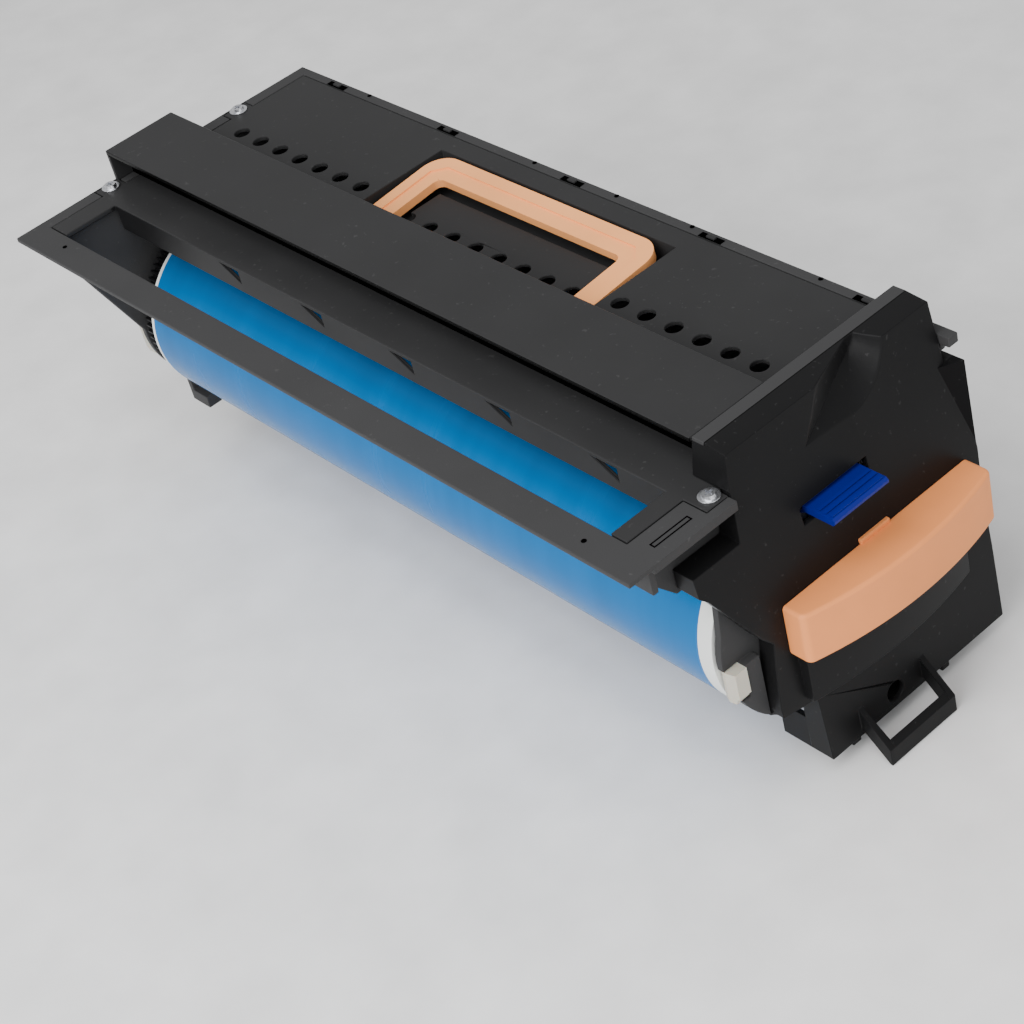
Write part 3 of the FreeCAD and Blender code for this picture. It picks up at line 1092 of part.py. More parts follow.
def blade_bracket():
    body = new_body("blade_bracket")
    outer = "(blade_thick + bracket_thick)"
    lean = "blade_lean * 1 deg"
    base_y, base_z = blade_corner("0", "blade_thick")
    to_top = "((cleaner_top + bracket_thick - (%s)) / sin(%s))" % (base_z, lean)
    far_y, far_z = blade_corner("0", outer)
    to_seat = "((cleaner_top - (%s)) / sin(%s))" % (far_z, lean)
    pad(body, "angle", "YZ", "cleaner_rear + cleaner_wall + seat_gap",
        "cleaner_front - cleaner_wall - seat_gap", loop(
            blade_corner("blade_free", "blade_thick"), blade_corner("blade_free", outer),
            blade_corner(to_seat, outer), ("bracket_far", "cleaner_top"),
            ("bracket_far", "cleaner_top + bracket_thick"), blade_corner(to_top, "blade_thick")))
    for name, along in bracket_screws():
        cut(body, "hole_" + name, "XY", "cleaner_top - 1", "cleaner_top + bracket_thick + 1",
            circle(along, "bracket_screw", "screw_shank + fit_gap"))
    return body


def recovery_film():
    body = new_body("recovery_film")
    run = "(sill_near - cleaner_near)"
    drop = "(cleaner_foot - sill_drop)"
    length = "sqrt(%s * %s + %s * %s)" % (run, run, drop, drop)

    def point(along, across):
        return ("sill_near + (%s) * %s / %s - (%s) * %s / %s" % (along, run, length, across, drop, length),
                "-sill_drop + (%s) * %s / %s + (%s) * %s / %s" % (along, drop, length, across, run, length))

    pad(body, "film", "YZ", "cleaner_rear + cleaner_wall + seal_width + 2 * seat_gap",
        "cleaner_front - cleaner_wall - seal_width - 2 * seat_gap", loop(
            point("-film_seat", "0"), point("film_reach", "0"),
            point("film_reach", "film_thick"), point("-film_seat", "film_thick")))
    return body


def end_seals():
    """Two foam blocks that follow the drum just inside the cleaner's end walls."""
    body_shapes = []
    inner = size("drum_radius + seat_gap")
    outer = size("seal_outer")
    for start in (size("cleaner_rear + cleaner_wall"), size("cleaner_front - cleaner_wall - seal_width")):
        ring = Part.makeCylinder(outer, size("seal_width"), FreeCAD.Vector(start, 0, 0),
                                 FreeCAD.Vector(1, 0, 0), size("seal_sweep"))
        core = Part.makeCylinder(inner, size("seal_width"), FreeCAD.Vector(start, 0, 0),
                                 FreeCAD.Vector(1, 0, 0))
        sector = ring.cut(core)
        sector.rotate(FreeCAD.Vector(0, 0, 0), FreeCAD.Vector(1, 0, 0), size("seal_start") - 90)
        body_shapes.append(sector)
    seals = document.addObject("Part::Feature", "end_seals")
    seals.Label = "end_seals"
    seals.Shape = Part.makeCompound(body_shapes)
    return seals


def waste_auger():
    """A round shaft with one long screw flight."""
    core = size("auger_core")
    outer = size("auger_radius")
    pitch = size("auger_pitch")
    thick = size("flight_thick")
    first = size("cleaner_rear + cleaner_wall") + 3
    last = size("cleaner_front - cleaner_wall") - 3
    length = last - first - thick
    helix = Part.makeHelix(pitch, length, core)
    section = Part.makePolygon([
        FreeCAD.Vector(core - 0.3, 0, -thick / 2), FreeCAD.Vector(outer, 0, -thick / 4),
        FreeCAD.Vector(outer, 0, thick / 4), FreeCAD.Vector(core - 0.3, 0, thick / 2),
        FreeCAD.Vector(core - 0.3, 0, -thick / 2)])
    flight = Part.Wire(helix.Edges).makePipeShell([section], True, True)
    flight.translate(FreeCAD.Vector(0, 0, first + thick / 2))
    rear = size("rear_wall")
    shaft = Part.makeCylinder(core, size("front_wall + wall_thick") - rear, FreeCAD.Vector(0, 0, rear))
    auger = document.addObject("Part::Feature", "waste_auger")
    auger.Label = "waste_auger"
    auger.Shape = shaft.fuse(flight)
    auger.Placement = FreeCAD.Placement(
        FreeCAD.Vector(0, size(AUGER_Y), size(AUGER_Z)), FreeCAD.Rotation(FreeCAD.Vector(0, 1, 0), 90))
    return auger


# Spacer blocks that set the gap to the developer unit
def front_spacer():
    body = new_body("front_spacer")
    end = "(spacer_front + spacer_long)"
    inner = "(-spacer_near + spacer_thick)"
    pad(body, "block", "XY", "-spacer_foot", "-spacer_top", loop(
        ("spacer_front", "-spacer_near + 1.4"), ("spacer_front + 3", "-spacer_near"),
        (end, "-spacer_near + 1"), (end, inner), ("spacer_front", inner)))
    cut(body, "hook", "XZ", "-spacer_near - 1", inner + " + 1", loop(
        (end + " - 2", "-spacer_foot - 1"), (end + " + 1", "-spacer_foot - 1"),
        (end + " + 1", "-spacer_foot + 2.4"), (end + " - 0.8", "-spacer_foot + 2.4")))
    cut(body, "top_slope", "XZ", "-spacer_near - 1", inner + " + 1", loop(
        ("spacer_front - 1", "-spacer_top + 1"), ("spacer_front - 1", "-spacer_top - 2.4"),
        ("spacer_front + 3", "-spacer_top + 0.2"), ("spacer_front + 3", "-spacer_top + 1")))
    return body


def rear_spacer():
    body = new_body("rear_spacer")
    inner = "(-block_near + block_thick)"
    pad(body, "block", "XZ", "-block_near", inner, loop(
        ("block_rear", "-block_foot + 2.4"), ("block_rear + 2", "-block_foot"),
        ("block_front", "-block_foot + 1"), ("block_front", "block_top - 3"),
        ("block_front - 2", "block_top"), ("block_rear + 1", "block_top"),
        ("block_rear", "block_top - 1.4")))
    return body


# Screws, kept as groups of separate solids
def screw_shape(head, shank, length, rise):
    """A pan-head screw that points down from the origin, with a cross recess."""
    body = Part.makeCylinder(shank, length, FreeCAD.Vector(0, 0, -length))
    cap = Part.makeCone(head, head * 0.8, rise)
    slot = Part.makeBox(head * 1.1, 0.7, rise, FreeCAD.Vector(-head * 0.55, -0.35, rise * 0.45))
    cross = Part.makeBox(0.7, head * 1.1, rise, FreeCAD.Vector(-0.35, -head * 0.55, rise * 0.45))
    return body.fuse(cap).cut(slot).cut(cross).removeSplitter()


def screw_group(label, places, length):
    shapes = []
    for base, turn in places:
        screw = screw_shape(size("screw_head"), size("screw_shank"), length, size("screw_rise"))
        screw.Placement = FreeCAD.Placement(base, turn)
        shapes.append(screw)
    group = document.addObject("Part::Feature", label)
    group.Label = label
    group.Shape = Part.makeCompound(shapes)
    return group


def all_screws():
    """Deck, bracket and cover screws, each reaching past the last plate that it holds."""
    upright = FreeCAD.Rotation()
    forward = FreeCAD.Rotation(FreeCAD.Vector(0, 1, 0), -90)
    deck = [(FreeCAD.Vector(size(along), size(row), size("deck_top")), upright)
            for name, along, row in deck_screws()]
    bracket = [(FreeCAD.Vector(size(along), size("bracket_screw"), size("cleaner_top + bracket_thick")), upright)
               for name, along in bracket_screws()]
    front = [(FreeCAD.Vector(size("front_wall"), size(row), size(level)), forward)
             for name, row, level, end in cover_screws()]
    return [
        screw_group("deck_screws", deck, size("plate_thick + ledge_thick + screw_bite")),
        screw_group("blade_screws", bracket, size("bracket_thick + cleaner_wall + screw_bite")),
        screw_group("cover_screws", front, size("wall_thick + screw_bite")),
    ]


def ground_contact():
    """A thin spring strip from a boss of the front wall to the end of the drum shaft."""
    body = new_body("ground_contact")
    half = "(contact_width / 2)"
    pad(body, "strip", "YZ", "shaft_front", "shaft_front + contact_thick", rectangle(
        "-" + half, "-contact_drop - 4", half, "shaft_radius"))
    pad(body, "foot", "YZ", FRONT_WALL_FRONT, "shaft_front + 0.1", rectangle(
        "-" + half, "-contact_drop - 4", half, "-contact_drop + 4"))
    return body


pieces = [
    main_frame(), top_cover(), carry_handle(), front_cover(), front_grip(),
    release_lever(), lever_pin(), lever_spring(), drum_tube(),
    drum_flange("front_drum_flange", RING_FRONT, TUBE_FRONT, TUBE_FRONT + " - plug_depth"),
    drum_flange("rear_drum_flange", LIP_REAR, "tube_rear", "tube_rear + plug_depth"),
    drum_shaft(), drive_coupling(),
    ball_bearing("rear_bearing", "(rear_wall + wall_thick - bearing_width)", "(journal_radius + fit_gap)"),
    ball_bearing("front_bearing", "front_wall", "(shaft_radius + fit_gap)"),
    idler_pin(), cleaner_housing(), cleaning_blade(), blade_bracket(), recovery_film(),
    end_seals(), waste_auger(), front_spacer(), rear_spacer(), ground_contact(),
]
pieces += gear_train()
pieces += all_screws()
document.recompute()

# Every object has to be sound before anything is written
for item in document.Objects:
    if "Invalid" in item.State or "Error" in item.State:
        raise RuntimeError("%s is %s" % (item.Name, item.State))
for piece in pieces:
    if piece.Shape.isNull() or not piece.Shape.isValid():
        raise RuntimeError("%s has no sound shape" % piece.Label)
for item in document.Objects:
    if item.TypeId == "PartDesign::Pocket" and item.BaseFeature is not None:
        if item.BaseFeature.Shape.Volume - item.Shape.Volume < 1e-3:
            print("%s removes nothing" % item.Name)

os.makedirs("parts", exist_ok=True)
for piece in pieces:
    piece.Shape.exportStep("parts/%s.step" % piece.Label)
    print(piece.Label, len(piece.Shape.Solids), round(piece.Shape.Volume / 1000, 2))
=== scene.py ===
"""Printer drum unit: the finish of every piece, its small mouldings, and the studio."""

from math import radians

import bmesh
import bpy
from bpy.props import FloatProperty, FloatVectorProperty, PointerProperty
from mathutils import Matrix, Vector


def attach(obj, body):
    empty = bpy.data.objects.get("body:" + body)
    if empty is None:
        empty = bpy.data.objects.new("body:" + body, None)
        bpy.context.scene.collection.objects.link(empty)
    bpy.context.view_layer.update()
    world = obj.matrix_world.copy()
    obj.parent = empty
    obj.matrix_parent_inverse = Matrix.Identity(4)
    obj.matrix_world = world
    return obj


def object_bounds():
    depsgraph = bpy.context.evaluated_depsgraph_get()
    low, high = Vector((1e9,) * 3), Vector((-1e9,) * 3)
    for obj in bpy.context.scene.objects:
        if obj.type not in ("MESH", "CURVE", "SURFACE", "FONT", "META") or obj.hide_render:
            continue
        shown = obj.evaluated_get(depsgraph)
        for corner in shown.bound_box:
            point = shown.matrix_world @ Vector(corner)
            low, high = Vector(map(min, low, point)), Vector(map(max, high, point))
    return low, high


bl_info = {
    "name": "Printer drum unit",
    "version": (1, 0, 0),
    "blender": (4, 5, 0),
    "location": "3D View > Sidebar > Drum Unit",
    "description": "Finishes and small mouldings of a printer drum unit",
    "category": "Object",
}

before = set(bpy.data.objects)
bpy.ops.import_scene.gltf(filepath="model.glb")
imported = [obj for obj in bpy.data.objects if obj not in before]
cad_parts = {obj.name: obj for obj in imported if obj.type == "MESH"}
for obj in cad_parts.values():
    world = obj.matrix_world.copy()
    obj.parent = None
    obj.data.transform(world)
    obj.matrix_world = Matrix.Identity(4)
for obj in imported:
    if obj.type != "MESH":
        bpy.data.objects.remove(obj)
cad_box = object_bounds()

# Places are in the part's frame: x runs along the drum, y to the far rim, z up.
# They are in millimetres, or in metres where MM is written.
MM = 0.001
HOUSING = "housing"
# Near-black of painted shade, for recesses, grooves and faces that lie in shade.
SHADOW = (0.001, 0.001, 0.001)

DECK_TOP = 65.3
SUNK = 0.05
LATCH_PLACES = (30.4, 108.7, 188, 267.5, 346.4)
POCKET_ROW = (80.8, 83.6)
POCKET_HEIGHTS = (DECK_TOP - 0.1, DECK_TOP + 0.15)
LATCH_ROW = (81.3, 83.1)
LATCH_HEIGHTS = (DECK_TOP, DECK_TOP + 0.9)
LATCH_HALF = 2.2
RIM_MARKS = ((51.8, 84), (163, 84), (212.5, 84), (255.3, 84), (322.2, 84))
FLANGE_MARKS = ((26.9, -65.4), (356.4, -67.3))
MARK_HEIGHT = 0.2
SLOT_CENTRE = Vector((377.4 * MM, -47.5 * MM, (DECK_TOP - SUNK) * MM))
SLOT_LINE = 0.5 * MM
SCREW_PLACES = ((4.4, -26.2), (4.4, 44.7), (375.4, -27.6))
WASHER_SUNK = 0.02
WASHER_RADIUS = 4.1
WASHER_HEIGHT = 0.7
HOOD_WALL = ((2.6, -12.8, DECK_TOP - SUNK), (362.4, -11.4, 78.1))
WING = ((382.3, 76, 54), (387.2, 85.1, 54), (388.3, 85.1, 18))
WING_ROOT = 378
FOOT_LUGS = (((385, 50.5, -67.6), (391.4, 54.6, -64.2)),
             ((385, 1.6, -66.8), (391.4, 5.9, -64.2)))
GRIP_TAB = ((387, 22, 15), (390, 37, 17.2))

# Parts of a moulding with another colour: two corners, None where a side is open. The cap strip
# has a colour of its own; the cap groove, the hood's near edge and the window wall are painted
# shade.
CAP_LEDGE = 80.2 * MM - 1.2 * MM
CAP_SEAM = 368.7 * MM
CAP_STRIP_BOX = ((None, None, CAP_LEDGE), (CAP_SEAM, None, None))
CAP_GROOVE_SHADE_BOX = ((CAP_SEAM, None, CAP_LEDGE), (CAP_SEAM + 0.45 * MM, None, None))
HOOD_EDGE_SHADE_BOX = ((None, None, 77.5 * MM), (None, -20.7 * MM, 79.9 * MM))
WINDOW_WALL_SHADE_BOX = ((None, -36 * MM, None), (None, -33 * MM, DECK_TOP * MM - 0.5 * MM))

WELD_GAP = 0.01 * MM
FLAT = radians(0.5)
SHARP = radians(30)
DISC_SIDES = 24
BEVEL_STEPS = 2
SORT_DIGITS = 7
SHADING_WEIGHT = 100

# Colour sockets of a Mix node, which have the same names as its other sockets.
MIX_MASK, MIX_FIRST, MIX_SECOND, MIX_RESULT = 0, 6, 7, 2
NOISE_RANGE = (0.3, 0.7)
SPECK_RANGE = (0.66, 0.74)
DUST_TONE = 0.12

FLOOR_HALF = 6.0
FLOOR_CENTRE = 0.2
FLOOR_GAP = 0.2 * MM
SENSOR = 36
LIGHTS = (
    ("overhead_softbox", "key", (0.2, -0.5, 1.1), (1.0, 0.8)),
    ("drum_softbox", "near", (0.3, -1.1, 0.7), (1.0, 0.7)),
    ("grip_softbox", "side", (1.2, -0.2, 0.35), (0.8, 0.8)),
)
CAMERA_PLACE = Matrix((
    (0.64687093, -0.36416053, 0.67003366, 0.8561),
    (0.73277565, 0.54012714, -0.41388708, -0.3996),
    (-0.21118203, 0.75871587, 0.61624052, 0.5542),
    (0, 0, 0, 1)))


# Settings

def colour(name, description, default):
    """A colour setting."""
    return FloatVectorProperty(
        name=name, description=description, default=default, subtype="COLOR", size=3, min=0, max=1)


def share(name, description, default):
    """A setting from 0 to 1."""
    return FloatProperty(
        name=name, description=description, default=default, min=0, max=1, subtype="FACTOR")


def length(name, description, default):
    """A setting in metres."""
    return FloatProperty(name=name, description=description, default=default, min=0, unit="LENGTH")


def power(name, description, default):
    """A setting in watts."""
    return FloatProperty(name=name, description=description, default=default, min=0, unit="POWER")


class HousingSettings(bpy.types.PropertyGroup):
    """Black mouldings of the housing."""

    deck: colour("Deck", "Deck plate and duct hood", (0.028, 0.028, 0.0287))
    rim: colour("Rim", "Main frame and the strip on the cap", (0.042, 0.042, 0.043))
    # The cover colour is also laid on the deck's window wall as painted shade.
    cover: colour("Front cover", "Front cover, cleaner and window wall", (0.009, 0.009, 0.0094))
    satin: share("Satin", "Roughness of the smooth mouldings", 0.36)
    deck_shine: share("Deck shine", "Specular level of the deck and the frame", 0.08)
    cover_shine: share("Cover shine", "Specular level of the front cover", 0.08)
    sparked: share("Sparked", "Roughness of the sparked mouldings", 0.5)
    grain: length("Grain", "Size of the sparked grain", 0.0006)
    edge: length("Edge", "Width of the rounded edges", 0.0004)


class TrimSettings(bpy.types.PropertyGroup):
    """Small mouldings and painted shade of the rim, the flange and the front cover."""

    latch: length("Latch", "Length of a latch pocket on the far rim", 0.012)
    mark: length("Mark", "Diameter of the round marks", 0.002)
    # Darker than the cover's black, as painted shade on the wing's facet.
    wing: colour("Wing", "Far wing of the front cover", (0.005, 0.005, 0.0054))
    slot_length: length("Slot length", "Length of the slot outline on the flange", 0.0174)
    slot_width: length("Slot width", "Width of the slot outline on the flange", 0.0026)


class GripSettings(bpy.types.PropertyGroup):
    """Coloured pieces that a hand takes hold of."""

    peach: colour("Peach", "Front grip", (0.84, 0.29, 0.09))
    # Peach plastic, made lighter than the grip's as painted light on the handle's upward faces.
    handle: colour("Handle", "Carry handle", (1.0, 0.42, 0.15))
    lever: colour("Lever", "Release lever", (0.002, 0.007, 0.17))
    satin: share("Satin", "Roughness of the coloured mouldings", 0.45)
    edge: length("Edge", "Width of the rounded edges of the grip", 0.0006)


class DrumSettings(bpy.types.PropertyGroup):
    """Coated drum and its running gear."""

    coating: colour("Coating", "Photoconductive coating", (0.001, 0.125, 0.36))
    white: colour("White", "Drum flanges", (0.8, 0.82, 0.8))
    gear: colour("Gears", "Gears of the drive end", (0.006, 0.006, 0.0065))
    ivory: colour("Ivory", "Spacer blocks", (0.5, 0.475, 0.4))
    gloss: share("Gloss", "Roughness of the coating", 0.24)
    shine: share("Shine", "Specular level of the coating", 0.1)


class StageSettings(bpy.types.PropertyGroup):
    """Floor, light and camera."""

    floor: colour("Floor", "Pale floor", (0.86, 0.86, 0.86))
    sky: FloatProperty(
        name="Sky", description="Strength of the light all round", default=0.65, min=0)
    key: power("Key", "Power of the large light overhead", 11)
    near: power("Near", "Power of the light beside the drum", 13)
    side: power("Side", "Power of the light beside the grip", 3)
    lens: FloatProperty(
        name="Lens", description="Focal length", default=0.0831, min=0.01, unit="CAMERA")


# Node tools

def add_node(tree, kind, **settings):
    """A new node with its settings."""
    node = tree.nodes.new(kind)
    for key, value in settings.items():
        setattr(node, key, value)
    return node


def feed(tree, value, socket):
    """Links an output to a socket, or sets the socket to a constant."""
    if isinstance(value, bpy.types.NodeSocket):
        tree.links.new(value, socket)
    else:
        socket.default_value = value


def new_group(name, inputs, outputs):
    """An empty shader node group with named float or colour sockets."""
    group = bpy.data.node_groups.new(name, "ShaderNodeTree")
    for label, kind, default in inputs:
        socket = group.interface.new_socket(label, in_out="INPUT", socket_type=kind)
        socket.default_value = default
    for label, kind in outputs:
        group.interface.new_socket(label, in_out="OUTPUT", socket_type=kind)
    return group, group.nodes.new("NodeGroupInput"), group.nodes.new("NodeGroupOutput")


def noise(tree, place, scale, detail):
    """A noise pattern at a scale per metre."""
    node = tree.nodes.new("ShaderNodeTexNoise")
    for key, value in (("Vector", place), ("Scale", scale), ("Detail", detail)):
        feed(tree, value, node.inputs[key])
    return node.outputs["Fac"]


def spread(tree, value, given, wanted):
    """A value moved from one range to another."""
    node = tree.nodes.new("ShaderNodeMapRange")
    limits = zip(("From Min", "From Max", "To Min", "To Max"), (*given, *wanted))
    for key, number in (("Value", value), *limits):
        feed(tree, number, node.inputs[key])
    return node.outputs["Result"]


def combine(tree, operation, first, second):
    """The result of a calculation with two values."""
    node = add_node(tree, "ShaderNodeMath", operation=operation)
    feed(tree, first, node.inputs[0])
    feed(tree, second, node.inputs[1])
    return node.outputs["Value"]


def blend(tree, mask, first, second):
    """A colour that goes from the first to the second with a mask."""
    node = add_node(tree, "ShaderNodeMix", data_type="RGBA")
    for index, value in ((MIX_MASK, mask), (MIX_FIRST, first), (MIX_SECOND, second)):
        feed(tree, value, node.inputs[index])
    return node.outputs[MIX_RESULT]


def vary(tree, entry, leave, rgb, pattern, tone, rough):
    """Sets a group's colour and roughness, which a pattern varies by small amounts."""
    tint = tree.nodes.new("ShaderNodeHueSaturation")
    feed(tree, rgb, tint.inputs["Color"])
    feed(tree, spread(tree, pattern, NOISE_RANGE, (1 - tone, 1 + tone)), tint.inputs["Value"])
    feed(tree, tint.outputs["Color"], leave.inputs["Colour"])
    uneven = spread(tree, pattern, NOISE_RANGE, (-rough, rough))
    feed(tree, combine(tree, "ADD", entry.outputs["Roughness"], uneven), leave.inputs["Roughness"])


def moulding_group():
    """Grain, flow mottle and fine dust of a moulded plastic surface."""
    group, entry, leave = new_group(
        "Moulding",
        (("Colour", "NodeSocketColor", (0.5, 0.5, 0.5, 1)),
         ("Dust Colour", "NodeSocketColor", (0.6, 0.6, 0.6, 1)),
         ("Roughness", "NodeSocketFloat", 0.5),
         ("Grain Scale", "NodeSocketFloat", 1500.0),
         ("Dust", "NodeSocketFloat", 0.2)),
        (("Colour", "NodeSocketColor"), ("Roughness", "NodeSocketFloat"),
         ("Height", "NodeSocketFloat")))
    place = group.nodes.new("ShaderNodeTexCoord").outputs["Object"]
    grain = noise(group, place, entry.outputs["Grain Scale"], detail=2.0)
    mottle = noise(group, place, 28.0, detail=4.0)
    specks = spread(group, noise(group, place, 420.0, detail=6.0), SPECK_RANGE, (0.0, 1.0))
    dusty = combine(group, "MULTIPLY", specks, entry.outputs["Dust"])
    rgb = blend(group, dusty, entry.outputs["Colour"], entry.outputs["Dust Colour"])
    vary(group, entry, leave, rgb, mottle, tone=0.06, rough=0.035)
    feed(group, grain, leave.inputs["Height"])
    return group


def streak_group():
    """Fine lines round or along a turned, ground or drawn metal piece."""
    group, entry, leave = new_group(
        "Streaks",
        (("Colour", "NodeSocketColor", (0.6, 0.6, 0.6, 1)),
         ("Roughness", "NodeSocketFloat", 0.3),
         ("Along", "NodeSocketFloat", 2000.0),
         ("Across", "NodeSocketFloat", 40.0)),
        (("Colour", "NodeSocketColor"), ("Roughness", "NodeSocketFloat"),
         ("Height", "NodeSocketFloat")))
    stretch = group.nodes.new("ShaderNodeCombineXYZ")
    for axis, label in (("X", "Along"), ("Y", "Across"), ("Z", "Across")):
        feed(group, entry.outputs[label], stretch.inputs[axis])
    scaled = add_node(group, "ShaderNodeVectorMath", operation="MULTIPLY")
    feed(group, group.nodes.new("ShaderNodeTexCoord").outputs["Object"], scaled.inputs[0])
    feed(group, stretch.outputs["Vector"], scaled.inputs[1])
    lines = noise(group, scaled.outputs["Vector"], 1.0, detail=3.0)
    vary(group, entry, leave, entry.outputs["Colour"], lines, tone=0.08, rough=0.06)
    feed(group, lines, leave.inputs["Height"])
    return group


GROUP_MAKERS = {"Moulding": moulding_group, "Streaks": streak_group}


# Materials

def opaque(rgb):
    """A colour with full alpha."""
    return (rgb[0], rgb[1], rgb[2], 1.0)


def lighter(rgb, amount):
    """A colour moved towards white."""
    return tuple(channel + (1 - channel) * amount for channel in rgb)


def new_material(name, group_name, values, bump, **shader_values):
    """A Principled material whose colour, roughness and relief come from a shared group."""
    material = bpy.data.materials.new(name)
    material.use_nodes = True
    tree = material.node_tree
    shader = tree.nodes["Principled BSDF"]
    for key, value in shader_values.items():
        shader.inputs[key.replace("_", " ")].default_value = value
    group = tree.nodes.new("ShaderNodeGroup")
    group.node_tree = bpy.data.node_groups.get(group_name) or GROUP_MAKERS[group_name]()
    for key, value in values.items():
        group.inputs[key].default_value = value
    relief = tree.nodes.new("ShaderNodeBump")
    relief.inputs["Strength"].default_value = 1.0
    relief.inputs["Distance"].default_value = bump
    feed(tree, group.outputs["Height"], relief.inputs["Height"])
    feed(tree, group.outputs["Colour"], shader.inputs["Base Color"])
    feed(tree, group.outputs["Roughness"], shader.inputs["Roughness"])
    feed(tree, relief.outputs["Normal"], shader.inputs["Normal"])
    return material


def mask_box(tree, box):
    """1 inside a box, and 0 outside it."""
    place = tree.nodes.new("ShaderNodeSeparateXYZ")
    feed(tree, tree.nodes.new("ShaderNodeTexCoord").outputs["Object"], place.inputs[0])
    mask = None
    for axis, lowest, highest in zip("XYZ", *box):
        for operation, limit in (("GREATER_THAN", lowest), ("LESS_THAN", highest)):
            if limit is not None:
                side = combine(tree, operation, place.outputs[axis], limit)
                mask = side if mask is None else combine(tree, "MULTIPLY", mask, side)
    return mask


def tint_box(material, box, rgb):
    """Gives the part of a moulding that lies inside a box another colour."""
    tree = material.node_tree
    target = tree.nodes["Principled BSDF"].inputs["Base Color"]
    before = target.links[0].from_socket
    feed(tree, blend(tree, mask_box(tree, box), before, opaque(rgb)), target)


def plastic(name, rgb, roughness, grain=0.0008, bump=0.00001, dust=0.15, **shader_values):
    """A moulded plastic, with the size of its grain and the depth of its relief in metres."""
    return new_material(
        name, "Moulding",
        {"Colour": opaque(rgb), "Dust Colour": opaque(lighter(rgb, DUST_TONE)),
         "Roughness": roughness, "Grain Scale": 1 / grain, "Dust": dust},
        bump, **shader_values)


def metal(name, rgb, roughness, along, across, bump=0.00002):
    """A metal with streaks, which are as fine as the two scales are large."""
    return new_material(
        name, "Streaks",
        {"Colour": opaque(rgb), "Roughness": roughness, "Along": along, "Across": across},
        bump, Metallic=1.0)


def paint(material, *nodes):
    """Gives CAD nodes their finish."""
    for name in nodes:
        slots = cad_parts[name].data.materials
        slots.clear()
        slots.append(material)


# Shapes

def soften(width, *nodes, joined=False):
    """Rounds the sharp edges of CAD nodes, and joins the triangles of flat faces where asked."""
    for name in nodes:
        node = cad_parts[name]
        weld = node.modifiers.new("merged corners", "WELD")
        weld.merge_threshold = WELD_GAP
        if joined:
            flats = node.modifiers.new("joined flats", "DECIMATE")
            flats.decimate_type = "DISSOLVE"
            flats.angle_limit = FLAT
        edges = node.modifiers.new("rounded edges", "BEVEL")
        edges.width = width
        edges.segments = BEVEL_STEPS
        edges.limit_method = "ANGLE"
        edges.angle_limit = SHARP
        edges.use_clamp_overlap = False
        shading = node.modifiers.new("even shading", "WEIGHTED_NORMAL")
        shading.weight = SHADING_WEIGHT


def block(shape, low, high):
    """Adds a box between two corners, given in millimetres."""
    low, high = Vector(low) * MM, Vector(high) * MM
    size = Matrix.Diagonal((*(high - low), 1))
    bmesh.ops.create_cube(shape, size=1, matrix=Matrix.Translation((low + high) / 2) @ size)


def disc(shape, centre, radius, height):
    """Adds a low upright disc that starts at a centre, given in millimetres."""
    place = Vector(centre) + Vector((0, 0, height / 2))
    bmesh.ops.create_cone(
        shape, cap_ends=True, segments=DISC_SIDES, radius1=radius * MM, radius2=radius * MM,
        depth=height * MM, matrix=Matrix.Translation(place * MM))


def ease(shape, width):
    """Rounds every edge that is in a shape, by a width in millimetres."""
    bmesh.ops.bevel(
        shape, geom=shape.edges[:], offset=width * MM, affect="EDGES", segments=BEVEL_STEPS,
        profile=0.5, material=-1, clamp_overlap=True)


def add_piece(name, shape, material):
    """Makes a piece of a finished shape and hangs it on the housing."""
    bmesh.ops.recalc_face_normals(shape, faces=shape.faces)
    mesh = bpy.data.meshes.new(name)
    shape.to_mesh(mesh)
    shape.free()
    mesh.materials.append(material)
    piece = bpy.data.objects.new(name, mesh)
    bpy.context.scene.collection.objects.link(piece)
    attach(piece, HOUSING)


def add_blocks(name, boxes, material, rounding=0):
    """Makes a piece of boxes, with its edges rounded by a width in millimetres."""
    shape = bmesh.new()
    for low, high in boxes:
        block(shape, low, high)
    if rounding:
        ease(shape, rounding)
    add_piece(name, shape, material)


def row_boxes(places, half, row, heights):
    """Like boxes at places along a row."""
    return [((along - half, row[0], heights[0]), (along + half, row[1], heights[1]))
            for along in places]


def sort_parts(shape):
    """Orders a shape's parts by place, because an extrusion leaves them in a chance order."""
    def place(part):
        corners = [part] if isinstance(part, bmesh.types.BMVert) else part.verts
        return tuple(round(sum(corner.co[axis] for corner in corners), SORT_DIGITS)
                     for axis in range(3))

    for parts in (shape.verts, shape.edges, shape.faces):
        for index, part in enumerate(sorted(parts, key=place)):
            part.index = index
        parts.sort()


def slot_outline(width, depth):
    """A raised rectangular line round the slot on the flange, which carries the painted shade of
    the slot's groove.
    """
    shape = bmesh.new()
    bmesh.ops.create_grid(shape, x_segments=1, y_segments=1, size=0.5)
    bmesh.ops.scale(shape, verts=shape.verts, vec=(width, depth, 1))
    bmesh.ops.translate(shape, verts=shape.verts, vec=SLOT_CENTRE)
    bmesh.ops.inset_region(shape, faces=shape.faces[:], thickness=SLOT_LINE, use_boundary=True,
                           use_even_offset=True)
    middle = min(shape.faces, key=lambda face: (face.calc_center_median() - SLOT_CENTRE).length)
    bmesh.ops.delete(shape, geom=[middle], context="FACES")
    raised = bmesh.ops.extrude_face_region(shape, geom=shape.faces[:], use_keep_orig=True)["geom"]
    corners = [part for part in raised if isinstance(part, bmesh.types.BMVert)]
    bmesh.ops.translate(shape, verts=corners, vec=(0, 0, MARK_HEIGHT * MM))
    sort_parts(shape)
    return shape


# Pieces

